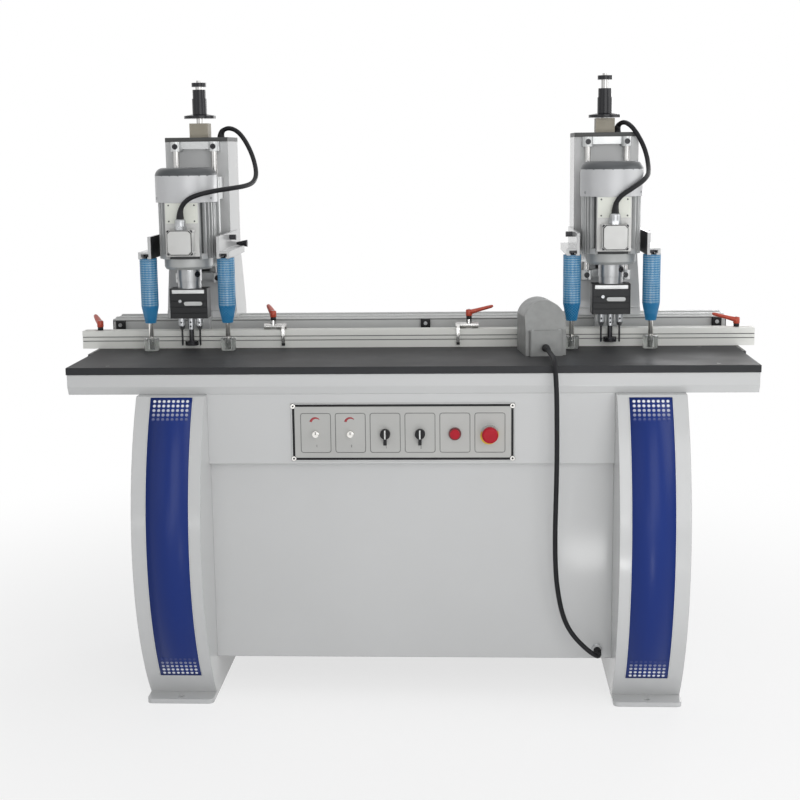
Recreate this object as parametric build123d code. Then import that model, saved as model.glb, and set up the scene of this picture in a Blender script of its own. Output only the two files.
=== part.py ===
"""Two-head hinge boring machine.

Frame: origin on the floor, midway between the four anchor holes; +X to the operator's right,
+Y away from the operator, +Z up. All sizes in millimetres.
"""
import math
import os

from build123d import *

# Fits
RUN = 0.05
GAP = 0.3

# Turns about an upright axis from the right-hand side
TO_BACK = 90.0
TO_FRONT = 270.0

# Stand
LEG_INSET = 263.0
ANCHOR_INSET = 21.0
ANCHOR_HOLE = 14.0
LEG_WIDTH = 169.0
LEG_DEPTH = 588.0
LEG_WALL = 4.0
LEG_TOP_LEAN = 24.0
LEG_BOW = 141.0
LEG_BOW_HEIGHT = 425.0
LEG_WINDOW = 380.0
FOOT_FLANGE = 52.0
FOOT_THICK = 12.0
FOOT_CORNER = 14.0
SHEET = 3.0
PANEL_SETBACK = 12.0
PANEL_STEP = 23.0
PANEL_STEP_DROP = 176.0
PANEL_CLEARANCE = 97.0
PANEL_RETURN = 30.0

# Table
TABLE_CHAMFER = 1.0
TABLE_LENGTH = 1700.0
TABLE_DEPTH = 459.0
TABLE_THICK = 18.0
TABLE_HEIGHT = 852.0
TABLE_FRONT = -299.0
APRON_HEIGHT = 51.0
APRON_DEPTH = 598.0
APRON_INSET = 2.0
APRON_FOLD = 20.0
APRON_TUCK = 10.0
APRON_WALL = 12.0
APRON_SKIN = 4.0
APRON_WINDOW_X = 900.0
APRON_WINDOW_Y = 420.0

# Beam that carries the heads
BEAM_INSET = 8.0
BEAM_DEPTH = 135.0
BEAM_HEIGHT = 85.0
BEAM_WALL = 6.0
BEAM_CORNER = 7.0
BEAM_GROOVE = 3.0
BEAM_GROOVE_DROP = 5.0
BEAM_GAP = 6.0
RAIL_WIDTH = 15.0
RAIL_HEIGHT = 3.0
RAIL_PITCH = 66.0
LIMIT_BLOCK = 26.0
LIMIT_THICK = 12.0
LIMIT_TOP_GAP = 3.0
LIMIT_CHAMFER = 2.0
LIMIT_INSETS = (21.0, 24.0)
LIMIT_MIDDLE = 26.0

# Control panel
PLATE_LENGTH = 552.0
PLATE_HEIGHT = 146.0
PLATE_THICK = 2.0
PLATE_CENTRE_X = -18.6
PLATE_DROP = 96.0
CONTROL_COUNT = 6
CONTROL_PITCH = 86.0
CONTROL_DROP = 4.0
CONTACT_SIZE = 36.0
CONTACT_DEPTH = 48.0
STEM_RADIUS = 5.0
STEM_DEPTH = 20.0
KNOB_RADIUS = 8.5
KNOB_LENGTH = 13.0
KNOB_SLOT = 2.0
SELECTOR_RADIUS = 12.5
SELECTOR_LENGTH = 12.0
SELECTOR_TAIL = 26.0
SELECTOR_TAIL_WIDTH = 8.0
SELECTOR_TAIL_HEIGHT = 6.0
LAMP_RADIUS = 15.5
LAMP_HEIGHT = 7.0
LAMP_LENS_RADIUS = 12.0
LAMP_LENS_HEIGHT = 5.0
ESTOP_RADIUS = 20.0
ESTOP_CAP = 14.0
ESTOP_ROUND = 6.0
ESTOP_TRAVEL = 5.0
ESTOP_COLLAR_RADIUS = 21.5
ESTOP_COLLAR_HEIGHT = 12.0

# Foot switch, resting on the table
PEDAL_BESIDE = 184.0
PEDAL_Y = -62.0
PEDAL_TURN = 7.0
PEDAL_WIDTH = 104.0
PEDAL_LENGTH = 148.0
PEDAL_HEIGHT = 138.0
PEDAL_WALL = 6.0
PEDAL_ARCH = 40.0
PEDAL_NOSE = 12.0
PEDAL_SLOPE = 30.0
PEDAL_ROUND = 5.0
PEDAL_BOX_DEPTH = 44.0
PEDAL_BOX_HEIGHT = 66.0
PEDAL_BOX_WIDTH = 84.0
TREADLE_WIDTH = 76.0
TREADLE_LENGTH = 82.0
TREADLE_HEEL = 6.0
TREADLE_SETBACK = 9.0
TREADLE_THICK = 8.0
TREADLE_PIVOT_HEIGHT = 34.0
TREADLE_PIN = 4.0
TREADLE_PIN_HOLD = 3.0
TREADLE_RISE = 8.0
CORD_RADIUS = 6.0
PEDAL_GLAND_X = -4.0
PEDAL_GLAND_Z = 23.0
PEDAL_GLAND_RADIUS = 9.0
PEDAL_GLAND_LENGTH = 14.0
GLAND_RADIUS = 11.0
GLAND_LENGTH = 18.0
GLAND_INSET = 36.5
GLAND_Z = 123.0

# Fence and flip stops
FENCE_OVERHANG = 50.0
FENCE_DEPTH = 40.0
FENCE_HEIGHT = 47.7
FENCE_FRONT = 51.0
FENCE_WALL = 4.0
FENCE_GROOVES = (20.5, 31.5)
FENCE_GROOVE = 2.5
FENCE_GROOVE_DEPTH = 3.0
SLOT_WIDTH = 9.0
SLOT_INNER = 16.0
SLOT_DEPTH = 14.0
SLOT_LIP = 5.0
GUIDE_WIDTH = 8.0
GUIDE_THICK = 18.0
GUIDE_FRONT = -60.0
GUIDE_CORNER = 2.5
FENCE_LEVER_INSET = 45.0
FENCE_LEVER_TURNS = (116.0, 180.0)
LEVER_HUB_RADIUS = 8.5
LEVER_HUB_HEIGHT = 26.0
LEVER_REACH = 60.0
LEVER_RISE = 14.0
LEVER_BASE_RADIUS = 7.5
LEVER_BASE_HEIGHT = 9.0
LEVER_NECK_RADIUS = 5.5
LEVER_BALL_RADIUS = 5.0
STUD_RADIUS = 4.0
STOP_BAR_RADIUS = 8.0
STOP_BAR_LENGTH = 50.0
STOP_JOURNAL_RADIUS = 5.0
STOP_CAP_RADIUS = 7.0
STOP_CAP = 2.5
STOP_STEM = 16.0
STOP_NUT = 24.0
STOP_BOSS_RADIUS = 7.5
STOP_BOSS_RISE = 8.0
STOP_STUD = 12.0
STOP_PLACES = (-382.0, 145.5)
STOP_LEVER_TURNS = (110.0, 0.0)
FINGER_THICK = 8.0
FINGER_WIDTH = 9.0
FINGER_HUB_RADIUS = 8.0
FINGER_ARM = 9.0
FINGER_SHOULDER = 5.0
FINGER_GAP = 1.5
FINGER_TIP_GAP = 7.0

# Heads
HEAD_INSETS = (253.0, 333.0)
COLUMN_WIDTH = 172.0
COLUMN_DEPTH = 165.0
COLUMN_SETBACK = 25.0
COLUMN_HEIGHT = 462.7
COLUMN_WALL = 10.0
COLUMN_FLARE = 194.0
COLUMN_FLARE_MIDDLE = 184.0
COLUMN_SLOT_MARGIN = 6.0
COLUMN_SLOT_END = 12.0
SADDLE_THICK = 20.0
SADDLE_LIP = 32.0
SADDLE_LEDGE = 6.0
SADDLE_TAB = 60.0
SADDLE_TAB_REACH = 26.0
TOP_PLATE_THICK = 11.5
TOP_PLATE_OVERHANG = 3.0
ROD_RADIUS = 8.0
ROD_PITCH = 104.0
ROD_AHEAD = 25.0
ROD_BELOW = 14.0
SUPPORT_HEIGHT = 26.0
SUPPORT_BOSS = 28.0
SUPPORT_BAR = 20.0
SUPPORT_BAR_BACK = 6.0

# Feed
FEED_AXIS_BACK = 65.0
FEED_ROD_RADIUS = 10.0
FEED_STROKE = 60.0
BARREL_RADIUS = 32.0
BARREL_WALL = 5.0
BARREL_LENGTH = 237.0
BARREL_HEAD = 14.0
PISTON_THICK = 22.0
PISTON_REST = 3.0
TOP_PLATE_HOLE = 1.0
STOP_BLOCK = 51.0
STOP_BLOCK_HEIGHT = 38.5
DEPTH_FLANGE_RADIUS = 43.5
DEPTH_FLANGE_HEIGHT = 12.0
DEPTH_FLANGE_RIM = 7.5
DEPTH_SLEEVE_RADIUS = 20.0
DEPTH_NECK_RADIUS = 18.0
DEPTH_SLEEVE_HEIGHT = 42.0
DEPTH_NECK_HEIGHT = 24.0
DEPTH_SETTINGS = (5.0, -10.5)
END_DISC_RADIUS = 20.0
END_DISC_HEIGHT = 11.0
END_DISC_GAP = 12.7
ROD_TIP = 6.0
ROD_TIP_RADIUS = 7.0
LIFTS = (8.0, 12.0)

# Carriage, motor and gearbox, with the depth stop down on its block
CARRIAGE_WIDTH = 140.0
CARRIAGE_PLATE = 22.0
CARRIAGE_DROP = 30.0
CARRIAGE_HEIGHT = 240.0
BEARING_WIDTH = 38.0
BEARING_DEPTH = 36.0
BEARING_LENGTH = 60.0
BRACKET_WIDTH = 40.0
BRACKET_HEIGHT = 30.0
BRACKET_END = 22.0
SPINDLE_TO_FENCE = 23.0
MOTOR_RADIUS = 75.0
MOTOR_CORE = 65.0
MOTOR_BORE = 47.0
MOTOR_PAD_WIDTH = 88.0
MOTOR_PAD_REACH = 77.0
MOTOR_FOOT_WIDTH = 100.0
MOTOR_FOOT_REACH = 82.0
MOTOR_PAD_MARGIN = 8.0
FIN_THICK = 3.6
MOTOR_LUGS = 4
MOTOR_LUG = 18.0
MOTOR_LUG_HEIGHT = 14.0
FIN_STEP = 10.0
FIN_ROOT = 2.0
FRONT_FIN_CLEAR = 40.0
REAR_FIN_CLEAR = 46.0
BODY_LENGTH = 147.0
SHIELD_THICK = 10.0
FLANGE_RADIUS = 64.0
FLANGE_HEIGHT = 28.0
FLANGE_LIP = 7.0
FLANGE_LOW_RADIUS = 60.0
FAN_COVER_RADIUS = 81.0
FAN_COVER_HEIGHT = 89.0
FAN_ROUND = 22.0
FAN_COVER_WALL = 2.0
FAN_SLOTS = 12
FAN_SLOT_WIDTH = 5.0
FAN_SLOT_INNER = 15.0
FAN_SLOT_OUTER = 45.0
TERMINAL_WIDTH = 66.0
TERMINAL_HEIGHT = 64.0
TERMINAL_DEPTH = 40.0
TERMINAL_CHAMFER = 8.0
TERMINAL_RISE = 14.0
TERMINAL_GLAND_RADIUS = 16.0
TERMINAL_GLAND_NUT = 10.0
TERMINAL_GLAND_DOME = 14.0
TERMINAL_GLAND_ROUND = 5.0
TERMINAL_GLAND_HEIGHT = 28.0
COUPLING_RADIUS = 32.5
COUPLING_HEIGHT = 33.5
RING_RADIUS = 31.0
RING_HEIGHT = 18.5
GEARBOX_WIDTH = 100.0
GEARBOX_DEPTH = 60.0
GEARBOX_HEIGHT = 79.0
GEARBOX_FLOOR = 18.0
GEARBOX_ROOF = 16.0
GEARBOX_ROUND = 4.0
GEARBOX_SIDE_WALL = 11.0
GEARBOX_END_WALL = 9.0
GEARBOX_GROOVES = (14.0, 30.0, 46.0)
GEARBOX_GROOVE = 2.0
NECK_BORE = 1.0
SIDE_PITCH = 24.0
SIDE_AHEAD = 6.0
SHAFT_RADIUS = 8.0
SIDE_SHAFT_RADIUS = 6.0
GEAR_GAP = 0.4
GEAR_THICK = 16.0
ROTOR_RADIUS = 46.0
ROTOR_LENGTH = 90.0
FAN_RADIUS = 66.0
FAN_THICK = 14.0
FAN_RISE = 10.0
CHUCK_RADIUS = 9.5
CHUCK_LENGTH = 32.0
CHUCK_NOSE = 10.0
CHUCK_NOSE_RADIUS = 5.0
SHANK_RADIUS = 6.5
SHANK_LENGTH = 31.0
CUTTER_RADIUS = 17.5
CUTTER_LENGTH = 12.0
CUTTER_GAP = 4.0
CUTTER_FLUTE = 6.0
CUTTER_POINT = 2.0
CUTTER_POINT_RADIUS = 3.0
CUTTER_POINT_TIP = 1.0
SIDE_DRILL_RADIUS = 2.5
SIDE_DRILL_TIP = 0.5
SIDE_DRILL_GAP = 3.0

# Hold-down clamps
CLAMP_PITCH = 206.0
CLAMP_AHEAD = 28.0
CLAMP_RADIUS = 22.0
CLAMP_NOSE_RADIUS = 13.0
CLAMP_NOSE = 45.0
CLAMP_LENGTH = 172.0
CLAMP_ROD_RADIUS = 6.5
CLAMP_ROD_HIDDEN = 60.0
CLAMP_BORE_SPARE = 5.0
CLAMP_TRAVEL = 30.0
CLAMP_FOOT_RADIUS = 20.0
CLAMP_FOOT_HEIGHT = 33.0
CLAMP_FOOT_CHAMFER = 3.0
CLAMP_FOOT_GAP = 2.0
ARM_RISE = 247.5
ARM_HEIGHT = 58.0
ARM_WIDTH = 34.0
ARM_PLATE = 8.0
ARM_CHANNEL = 18.0
ARM_SLOT = 14.0
ARM_SLOT_INNER = 20.0
ARM_SLOT_LIP = 5.0
ARM_SLOT_DEPTH = 13.0
ARM_BOLT_RADIUS = 6.0
ARM_BOLT_HEAD = 19.0
ARM_OVERHANG = 40.0
ARM_CHANNEL_TAIL = 20.0
ARM_TAIL = 100.0
ARM_KNOB_RADIUS = 10.0
ARM_KNOB_ROOT = 4.0
ARM_KNOB_LENGTH = 30.0
ARM_KNOB_BACK = 49.0
ARM_KNOB_RISE = 22.0
ARM_SCREW_RADIUS = 7.0
ARM_SCREW_LENGTH = 18.0
ARM_SCREW_AHEAD = 66.0
ARM_SCREW_RISE = 46.0

# Cords: points chosen along each route between its two ends. A motor cable's are from the spindle's
# axis at the column's top. The pedal cord's are first from the foot switch's middle at the table,
# then from the panel's gland at the floor.
BEND_SHARE = 0.45
CABLE_RADIUS = 6.25
CABLE_LANDINGS = (57.0, 35.0)
CABLE_DROP = 12.0
CABLE_LEAD = 16.0
CORD_LEAD = 30.0
LEFT_CABLE = [
    (7, -98, -162), (24, -98, -146), (52, -93, -135), (90, -75, -127), (127, -38, -122),
    (155, 10, -118), (170, 56, -110), (173, 97, -89), (162, 136, -55), (146, 166, -22),
    (126, 191, 8), (106, 210, 28), (84, 222, 37), (67, 227, 34),
]
RIGHT_CABLE = [
    (4, -97, -163), (17, -94, -148), (46, -83, -131), (76, -55, -113), (92, -10, -100),
    (99, 38, -91), (103, 80, -77), (103, 114, -53), (95, 134, -23), (81, 142, 4), (67, 154, 25),
    (54, 178, 37), (45, 206, 38), (38, 222, 32),
]
CORD_FROM_TABLE = [
    (13, -215, 18.5), (13, -252, 17.5), (12, -290, 17.5), (12, -330, -1), (13, -343, -51),
    (15, -343, -117), (20, -337, -212), (24, -333, -312),
]
CORD_FROM_FLOOR = [
    (-105, -328, 440), (-101, -321, 350), (-95, -315, 290), (-87, -311, 238), (-75, -308, 200),
    (-57, -307, 170), (-32, -314, 147), (-14, -318, 132), (-3, -311, 124.5), (0, -297, 123),
]

# Worked-out levels and places
board_bottom = TABLE_HEIGHT - TABLE_THICK
apron_bottom = board_bottom - APRON_HEIGHT
table_back = TABLE_FRONT + TABLE_DEPTH
beam_front = table_back + BEAM_GAP
beam_back = beam_front + BEAM_DEPTH
beam_top = board_bottom + BEAM_HEIGHT
rail_middle = beam_front + BEAM_DEPTH / 2
beam_half = TABLE_LENGTH / 2 - BEAM_INSET
anchor_x = TABLE_LENGTH / 2 - LEG_INSET
leg_inner = anchor_x - LEG_WIDTH / 2
gland_x = leg_inner - GLAND_INSET
foot_reach = LEG_DEPTH / 2 + FOOT_FLANGE
anchor_y = foot_reach - ANCHOR_INSET
panel_front = TABLE_FRONT + PANEL_SETBACK
lower_panel_front = panel_front + PANEL_STEP
step_level = apron_bottom - PANEL_STEP_DROP
fence_bottom = TABLE_HEIGHT + GAP
fence_top = fence_bottom + FENCE_HEIGHT
fence_middle = FENCE_FRONT + FENCE_DEPTH / 2
fence_half = TABLE_LENGTH / 2 + FENCE_OVERHANG
fence_lever_x = fence_half - FENCE_LEVER_INSET
bar_level = fence_top + GAP + STOP_BAR_RADIUS
boss_top = bar_level + STOP_BAR_RADIUS + STOP_BOSS_RISE
plate_front = panel_front - PLATE_THICK
plate_level = apron_bottom - PLATE_DROP
control_level = plate_level - CONTROL_DROP
head_places = (HEAD_INSETS[0] - TABLE_LENGTH / 2, TABLE_LENGTH / 2 - HEAD_INSETS[1])
pedal_x = head_places[1] - PEDAL_BESIDE
column_front = beam_front + COLUMN_SETBACK
column_back = column_front + COLUMN_DEPTH
saddle_bottom = beam_top + GAP
saddle_top = saddle_bottom + SADDLE_THICK
column_top = saddle_top + COLUMN_HEIGHT
barrel_bottom = column_top - BARREL_LENGTH
rod_y = column_front - ROD_AHEAD
feed_y = column_front + FEED_AXIS_BACK
top_plate_top = column_top + TOP_PLATE_THICK
stop_level = top_plate_top + STOP_BLOCK_HEIGHT
spindle_y = FENCE_FRONT - SPINDLE_TO_FENCE
cutter_bottom = TABLE_HEIGHT + CUTTER_GAP
chuck_bottom = cutter_bottom + CUTTER_LENGTH + SHANK_LENGTH
gearbox_bottom = chuck_bottom + CHUCK_LENGTH
gearbox_top = gearbox_bottom + GEARBOX_HEIGHT
ring_top = gearbox_top + RING_HEIGHT
coupling_top = ring_top + COUPLING_HEIGHT
flange_top = coupling_top + FLANGE_HEIGHT
body_top = flange_top + BODY_LENGTH
fan_top = body_top + FAN_COVER_HEIGHT
foot_face = spindle_y + MOTOR_FOOT_REACH
pad_face = spindle_y - MOTOR_PAD_REACH
plate_back = foot_face + CARRIAGE_PLATE
carriage_low = flange_top - CARRIAGE_DROP
bracket_top = carriage_low + BRACKET_HEIGHT
rod_bottom = carriage_low - ROD_BELOW - SUPPORT_HEIGHT
terminal_top = flange_top + TERMINAL_RISE + TERMINAL_HEIGHT
terminal_y = pad_face - TERMINAL_DEPTH / 2
gear_radius = math.hypot(SIDE_PITCH, SIDE_AHEAD) / 2 - GEAR_GAP / 2
clamp_y = spindle_y - CLAMP_AHEAD
clamp_foot_bottom = TABLE_HEIGHT + CLAMP_FOOT_GAP
arm_bottom = TABLE_HEIGHT + ARM_RISE
clamp_bottom = arm_bottom - CLAMP_LENGTH


def block(x0, x1, y0, y1, z0, z1):
    """Box between two corners."""
    return Pos((x0 + x1) / 2, (y0 + y1) / 2, (z0 + z1) / 2) * Box(x1 - x0, y1 - y0, z1 - z0)


def upright(x, y, z0, z1, radius):
    """Cylinder standing between two levels."""
    return Pos(x, y, (z0 + z1) / 2) * Cylinder(radius, z1 - z0)


def along_y(x, z, y0, y1, radius):
    """Cylinder lying front to back."""
    return Pos(x, (y0 + y1) / 2, z) * Rot(90, 0, 0) * Cylinder(radius, y1 - y0)


def along_x(y, z, x0, x1, radius):
    """Cylinder lying left to right."""
    return Pos((x0 + x1) / 2, y, z) * Rot(0, 90, 0) * Cylinder(radius, abs(x1 - x0))


def cone_up(x, y, z0, z1, low_radius, high_radius):
    """Cone frustum standing between two levels."""
    return Pos(x, y, (z0 + z1) / 2) * Cone(low_radius, high_radius, z1 - z0)


def outline(*points):
    """Closed polygon as a face, in plane coordinates."""
    return make_face(Polyline(*points, close=True))


def save(name, *solids):
    """Write one node, as one solid or as a group of separate solids."""
    shape = solids[0] if len(solids) == 1 else Compound(children=list(solids))
    export_step(shape, f"parts/{name}.step")


def prism_y(face, y0, y1):
    """Face drawn in X and Z, extruded from one depth to another."""
    return Pos(0, y1, 0) * extrude(Plane.XZ * face, y1 - y0)


def prism_x(face, x0, x1):
    """Face drawn in Y and Z, extruded between two places along X."""
    return Pos(min(x0, x1), 0, 0) * extrude(Plane.YZ * face, abs(x1 - x0))


def tube(points, radius):
    """Round cord along straight runs joined by tangent arcs."""
    spots = [Vector(*p) for p in points]
    radii = []
    for before, here, after in zip(spots, spots[1:], spots[2:]):
        arriving = here - before
        leaving = after - here
        half_turn = math.radians(arriving.get_angle(leaving)) / 2
        radii.append(BEND_SHARE * min(arriving.length, leaving.length) / math.tan(half_turn))
    path = FilletPolyline(*spots, radius=radii)
    section = Plane(origin=path @ 0, z_dir=path % 0) * Circle(radius)
    return sweep(section, path=path)


def side_profile(inset, z0, z1):
    """Side outline of a leg between two levels: bowed front, straight back."""
    half = LEG_DEPTH / 2 - inset
    front = ThreePointArc((-half, z0), (-half - LEG_BOW, LEG_BOW_HEIGHT), (-half - LEG_TOP_LEAN, z1))
    rest = Polyline(front @ 1, (half, z1), (half, z0), front @ 0)
    return Plane.YZ * make_face([front, rest])


def leg(side):
    """Hollow bowed leg on its foot plate, with a window in the cabinet side."""
    outer = extrude(side_profile(0, FOOT_THICK, apron_bottom), LEG_WIDTH / 2, both=True)
    inner_half = LEG_WIDTH / 2 - LEG_WALL
    inner = extrude(side_profile(LEG_WALL, FOOT_THICK, apron_bottom - LEG_WALL), inner_half, both=True)
    plate = block(-LEG_WIDTH / 2, LEG_WIDTH / 2, -foot_reach, foot_reach, 0, FOOT_THICK)
    plate = fillet(plate.edges().filter_by(Axis.Z), FOOT_CORNER)
    for end in (-1, 1):
        plate -= upright(0, end * anchor_y, 0, FOOT_THICK, ANCHOR_HOLE / 2)
    window_level = (FOOT_THICK + apron_bottom) / 2
    window = Pos(-side * LEG_WIDTH / 2, 0, window_level) * Box(LEG_WIDTH / 2, LEG_WINDOW, LEG_WINDOW)
    return Pos(side * anchor_x, 0, 0) * (outer - inner - window + plate)


def folded_sheet(points):
    """Sheet folded along a section line, reaching from leg to leg; its skin lies on the line."""
    line = Plane.YZ * Polyline(*points)
    strip = make_face(offset(line, SHEET, side=Side.RIGHT, closed=True))
    return extrude(strip, leg_inner, both=True)


def control_places():
    """The places on the control panel, from left to right."""
    first = PLATE_CENTRE_X - CONTROL_PITCH * (CONTROL_COUNT - 1) / 2
    return [first + CONTROL_PITCH * i for i in range(CONTROL_COUNT)]


def front_panel():
    """Stepped front panel with its control openings and the cord's gland."""
    sheet = folded_sheet([
        (panel_front, apron_bottom), (panel_front, step_level), (lower_panel_front, step_level),
        (lower_panel_front, PANEL_CLEARANCE), (lower_panel_front + PANEL_RETURN, PANEL_CLEARANCE),
    ])
    opening = CONTACT_SIZE + 2 * GAP
    for x in control_places():
        sheet -= Pos(x, panel_front + SHEET / 2, control_level) * Box(opening, 2 * SHEET, opening)
    gland = along_y(gland_x, GLAND_Z, lower_panel_front - GLAND_LENGTH, lower_panel_front, GLAND_RADIUS)
    return sheet, gland


def rear_panel():
    """Flat rear closing sheet with a returned lower edge."""
    back = LEG_DEPTH / 2 - LEG_WALL
    return folded_sheet([
        (back - PANEL_RETURN, PANEL_CLEARANCE), (back, PANEL_CLEARANCE), (back, apron_bottom),
    ])


def table_apron():
    """Pan under the table board, its lower front and back edges folded inwards."""
    front = TABLE_FRONT + APRON_INSET
    back = front + APRON_DEPTH
    half = TABLE_LENGTH / 2 - APRON_INSET
    pan = block(-half, half, front, back, apron_bottom, board_bottom)
    low = pan.faces().sort_by(Axis.Z)[0]
    pan = chamfer(low.edges().filter_by(Axis.X), APRON_TUCK, APRON_FOLD, reference=low)
    pan -= block(
        -half + APRON_WALL, half - APRON_WALL, front + APRON_WALL, back - APRON_WALL,
        apron_bottom + APRON_SKIN, board_bottom - APRON_SKIN,
    )
    middle = (front + back) / 2
    window = Pos(0, middle, apron_bottom + APRON_SKIN / 2)
    return pan - window * Box(APRON_WINDOW_X, APRON_WINDOW_Y, APRON_SKIN)


def table_top():
    """Board with its upper edges broken."""
    half = TABLE_LENGTH / 2
    board = block(-half, half, TABLE_FRONT, table_back, board_bottom, TABLE_HEIGHT)
    return chamfer(board.faces().sort_by(Axis.Z)[-1].edges(), TABLE_CHAMFER)


def fence_guide_bars():
    """Flat bar at each end of the board, level with its top, that the fence slides on."""
    bars = []
    for side in (-1, 1):
        middle = side * (TABLE_LENGTH + GUIDE_WIDTH) / 2
        bar = Pos(middle, (GUIDE_FRONT + table_back) / 2, TABLE_HEIGHT - GUIDE_THICK / 2)
        bar *= Box(GUIDE_WIDTH, table_back - GUIDE_FRONT, GUIDE_THICK)
        bars.append(fillet(bar.edges().filter_by(Axis.Z), GUIDE_CORNER))
    return bars


def rear_beam():
    """Rectangular tube with rounded corners and a front groove, standing on the apron behind the board."""
    outer = RectangleRounded(BEAM_DEPTH, BEAM_HEIGHT, BEAM_CORNER)
    inside = 2 * BEAM_WALL
    bore = RectangleRounded(BEAM_DEPTH - inside, BEAM_HEIGHT - inside, BEAM_CORNER - BEAM_WALL)
    section = Pos(rail_middle, board_bottom + BEAM_HEIGHT / 2) * (outer - bore)
    section -= Pos(beam_front, beam_top - BEAM_GROOVE_DROP) * Rectangle(2 * BEAM_GROOVE, BEAM_GROOVE)
    return prism_x(section, -beam_half, beam_half)


def rail_places():
    """Depths of the two rails on the beam."""
    return [rail_middle - RAIL_PITCH / 2, rail_middle + RAIL_PITCH / 2]


def beam_rails():
    """Two flat rails along the beam's top."""
    return [
        Pos(0, y, beam_top + RAIL_HEIGHT / 2) * Box(2 * beam_half, RAIL_WIDTH, RAIL_HEIGHT)
        for y in rail_places()
    ]


def limit_blocks():
    """Blocks on the beam's front that limit the heads."""
    middle = beam_top - LIMIT_TOP_GAP - LIMIT_BLOCK / 2
    blocks = []
    for x in (LIMIT_INSETS[0] - beam_half, LIMIT_MIDDLE, beam_half - LIMIT_INSETS[1]):
        stop = Pos(x, beam_front - LIMIT_THICK / 2, middle) * Box(LIMIT_BLOCK, LIMIT_THICK, LIMIT_BLOCK)
        blocks.append(chamfer(stop.faces().sort_by(Axis.Y)[0].edges(), LIMIT_CHAMFER))
    return blocks


def stem(x, front, end, clearance):
    """Stem of a control, or with a clearance the hole that it runs in."""
    return along_y(x, control_level, front, end, STEM_RADIUS + clearance)


def control_plate():
    """Plate with its stem holes, a contact block behind each, the lamp and the stop button's collar."""
    places = control_places()
    stem_end = panel_front + STEM_DEPTH + ESTOP_TRAVEL + GAP
    plate = Pos(PLATE_CENTRE_X, panel_front - PLATE_THICK / 2, plate_level)
    plate *= Box(PLATE_LENGTH, PLATE_THICK, PLATE_HEIGHT)
    contacts = []
    for x in places:
        contact = Pos(x, panel_front + CONTACT_DEPTH / 2, control_level)
        contact *= Box(CONTACT_SIZE, CONTACT_DEPTH, CONTACT_SIZE)
        contacts.append(contact - stem(x, plate_front, stem_end, RUN))
        plate -= stem(x, plate_front, panel_front, RUN)
    lamp_x, stop_x = places[4:]
    bezel_front = plate_front - LAMP_HEIGHT
    lamp = along_y(lamp_x, control_level, bezel_front, plate_front, LAMP_RADIUS)
    lens_front = bezel_front - LAMP_LENS_HEIGHT
    lamp += along_y(lamp_x, control_level, lens_front, bezel_front, LAMP_LENS_RADIUS)
    collar_front = plate_front - ESTOP_COLLAR_HEIGHT
    collar = along_y(stop_x, control_level, collar_front, plate_front, ESTOP_COLLAR_RADIUS)
    collar -= stem(stop_x, collar_front, plate_front, RUN)
    return [plate, lamp, collar] + contacts


def estop_button():
    """Mushroom cap on its stem, standing out by its travel."""
    x = control_places()[5]
    back = plate_front - ESTOP_COLLAR_HEIGHT - ESTOP_TRAVEL - GAP
    cap = along_y(x, control_level, back - ESTOP_CAP, back, ESTOP_RADIUS)
    cap = fillet(cap.faces().sort_by(Axis.Y)[0].edges(), ESTOP_ROUND)
    return cap + stem(x, back, panel_front + STEM_DEPTH, 0)


def selector(x):
    """Round selector with a pointer bar that runs down into a tail."""
    back = plate_front - GAP
    front = back - SELECTOR_LENGTH
    body = along_y(x, control_level, front, back, SELECTOR_RADIUS)
    half = SELECTOR_TAIL_WIDTH / 2
    body += block(
        x - half, x + half, front - SELECTOR_TAIL_HEIGHT, front + SELECTOR_LENGTH / 2,
        control_level - SELECTOR_TAIL, control_level + SELECTOR_RADIUS,
    )
    return body + stem(x, back, panel_front + STEM_DEPTH, 0)


def speed_knob(x):
    """Slotted adjusting knob."""
    back = plate_front - GAP
    front = back - KNOB_LENGTH
    body = along_y(x, control_level, front, back, KNOB_RADIUS)
    body = chamfer(body.faces().sort_by(Axis.Y)[0].edges(), KNOB_SLOT / 2)
    body -= Pos(x, front, control_level) * Box(2 * KNOB_RADIUS, 2 * KNOB_SLOT, KNOB_SLOT)
    return body + stem(x, back, panel_front + STEM_DEPTH, 0)


def pedal_place():
    """Where the foot switch rests on the table, from its own middle."""
    return Pos(pedal_x, PEDAL_Y, TABLE_HEIGHT) * Rot(0, 0, PEDAL_TURN)


def arch(half, spring, top, low):
    """Outline with straight sides and an arched top."""
    crown = ThreePointArc((-half, spring), (0, top), (half, spring))
    return make_face([crown, Polyline(crown @ 1, (half, low), (-half, low), crown @ 0)])


def treadle_pivot():
    """Depth of the treadle's pin in the foot switch's own frame."""
    return -PEDAL_LENGTH / 2 + PEDAL_BOX_DEPTH + PEDAL_WALL + TREADLE_SETBACK


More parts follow.
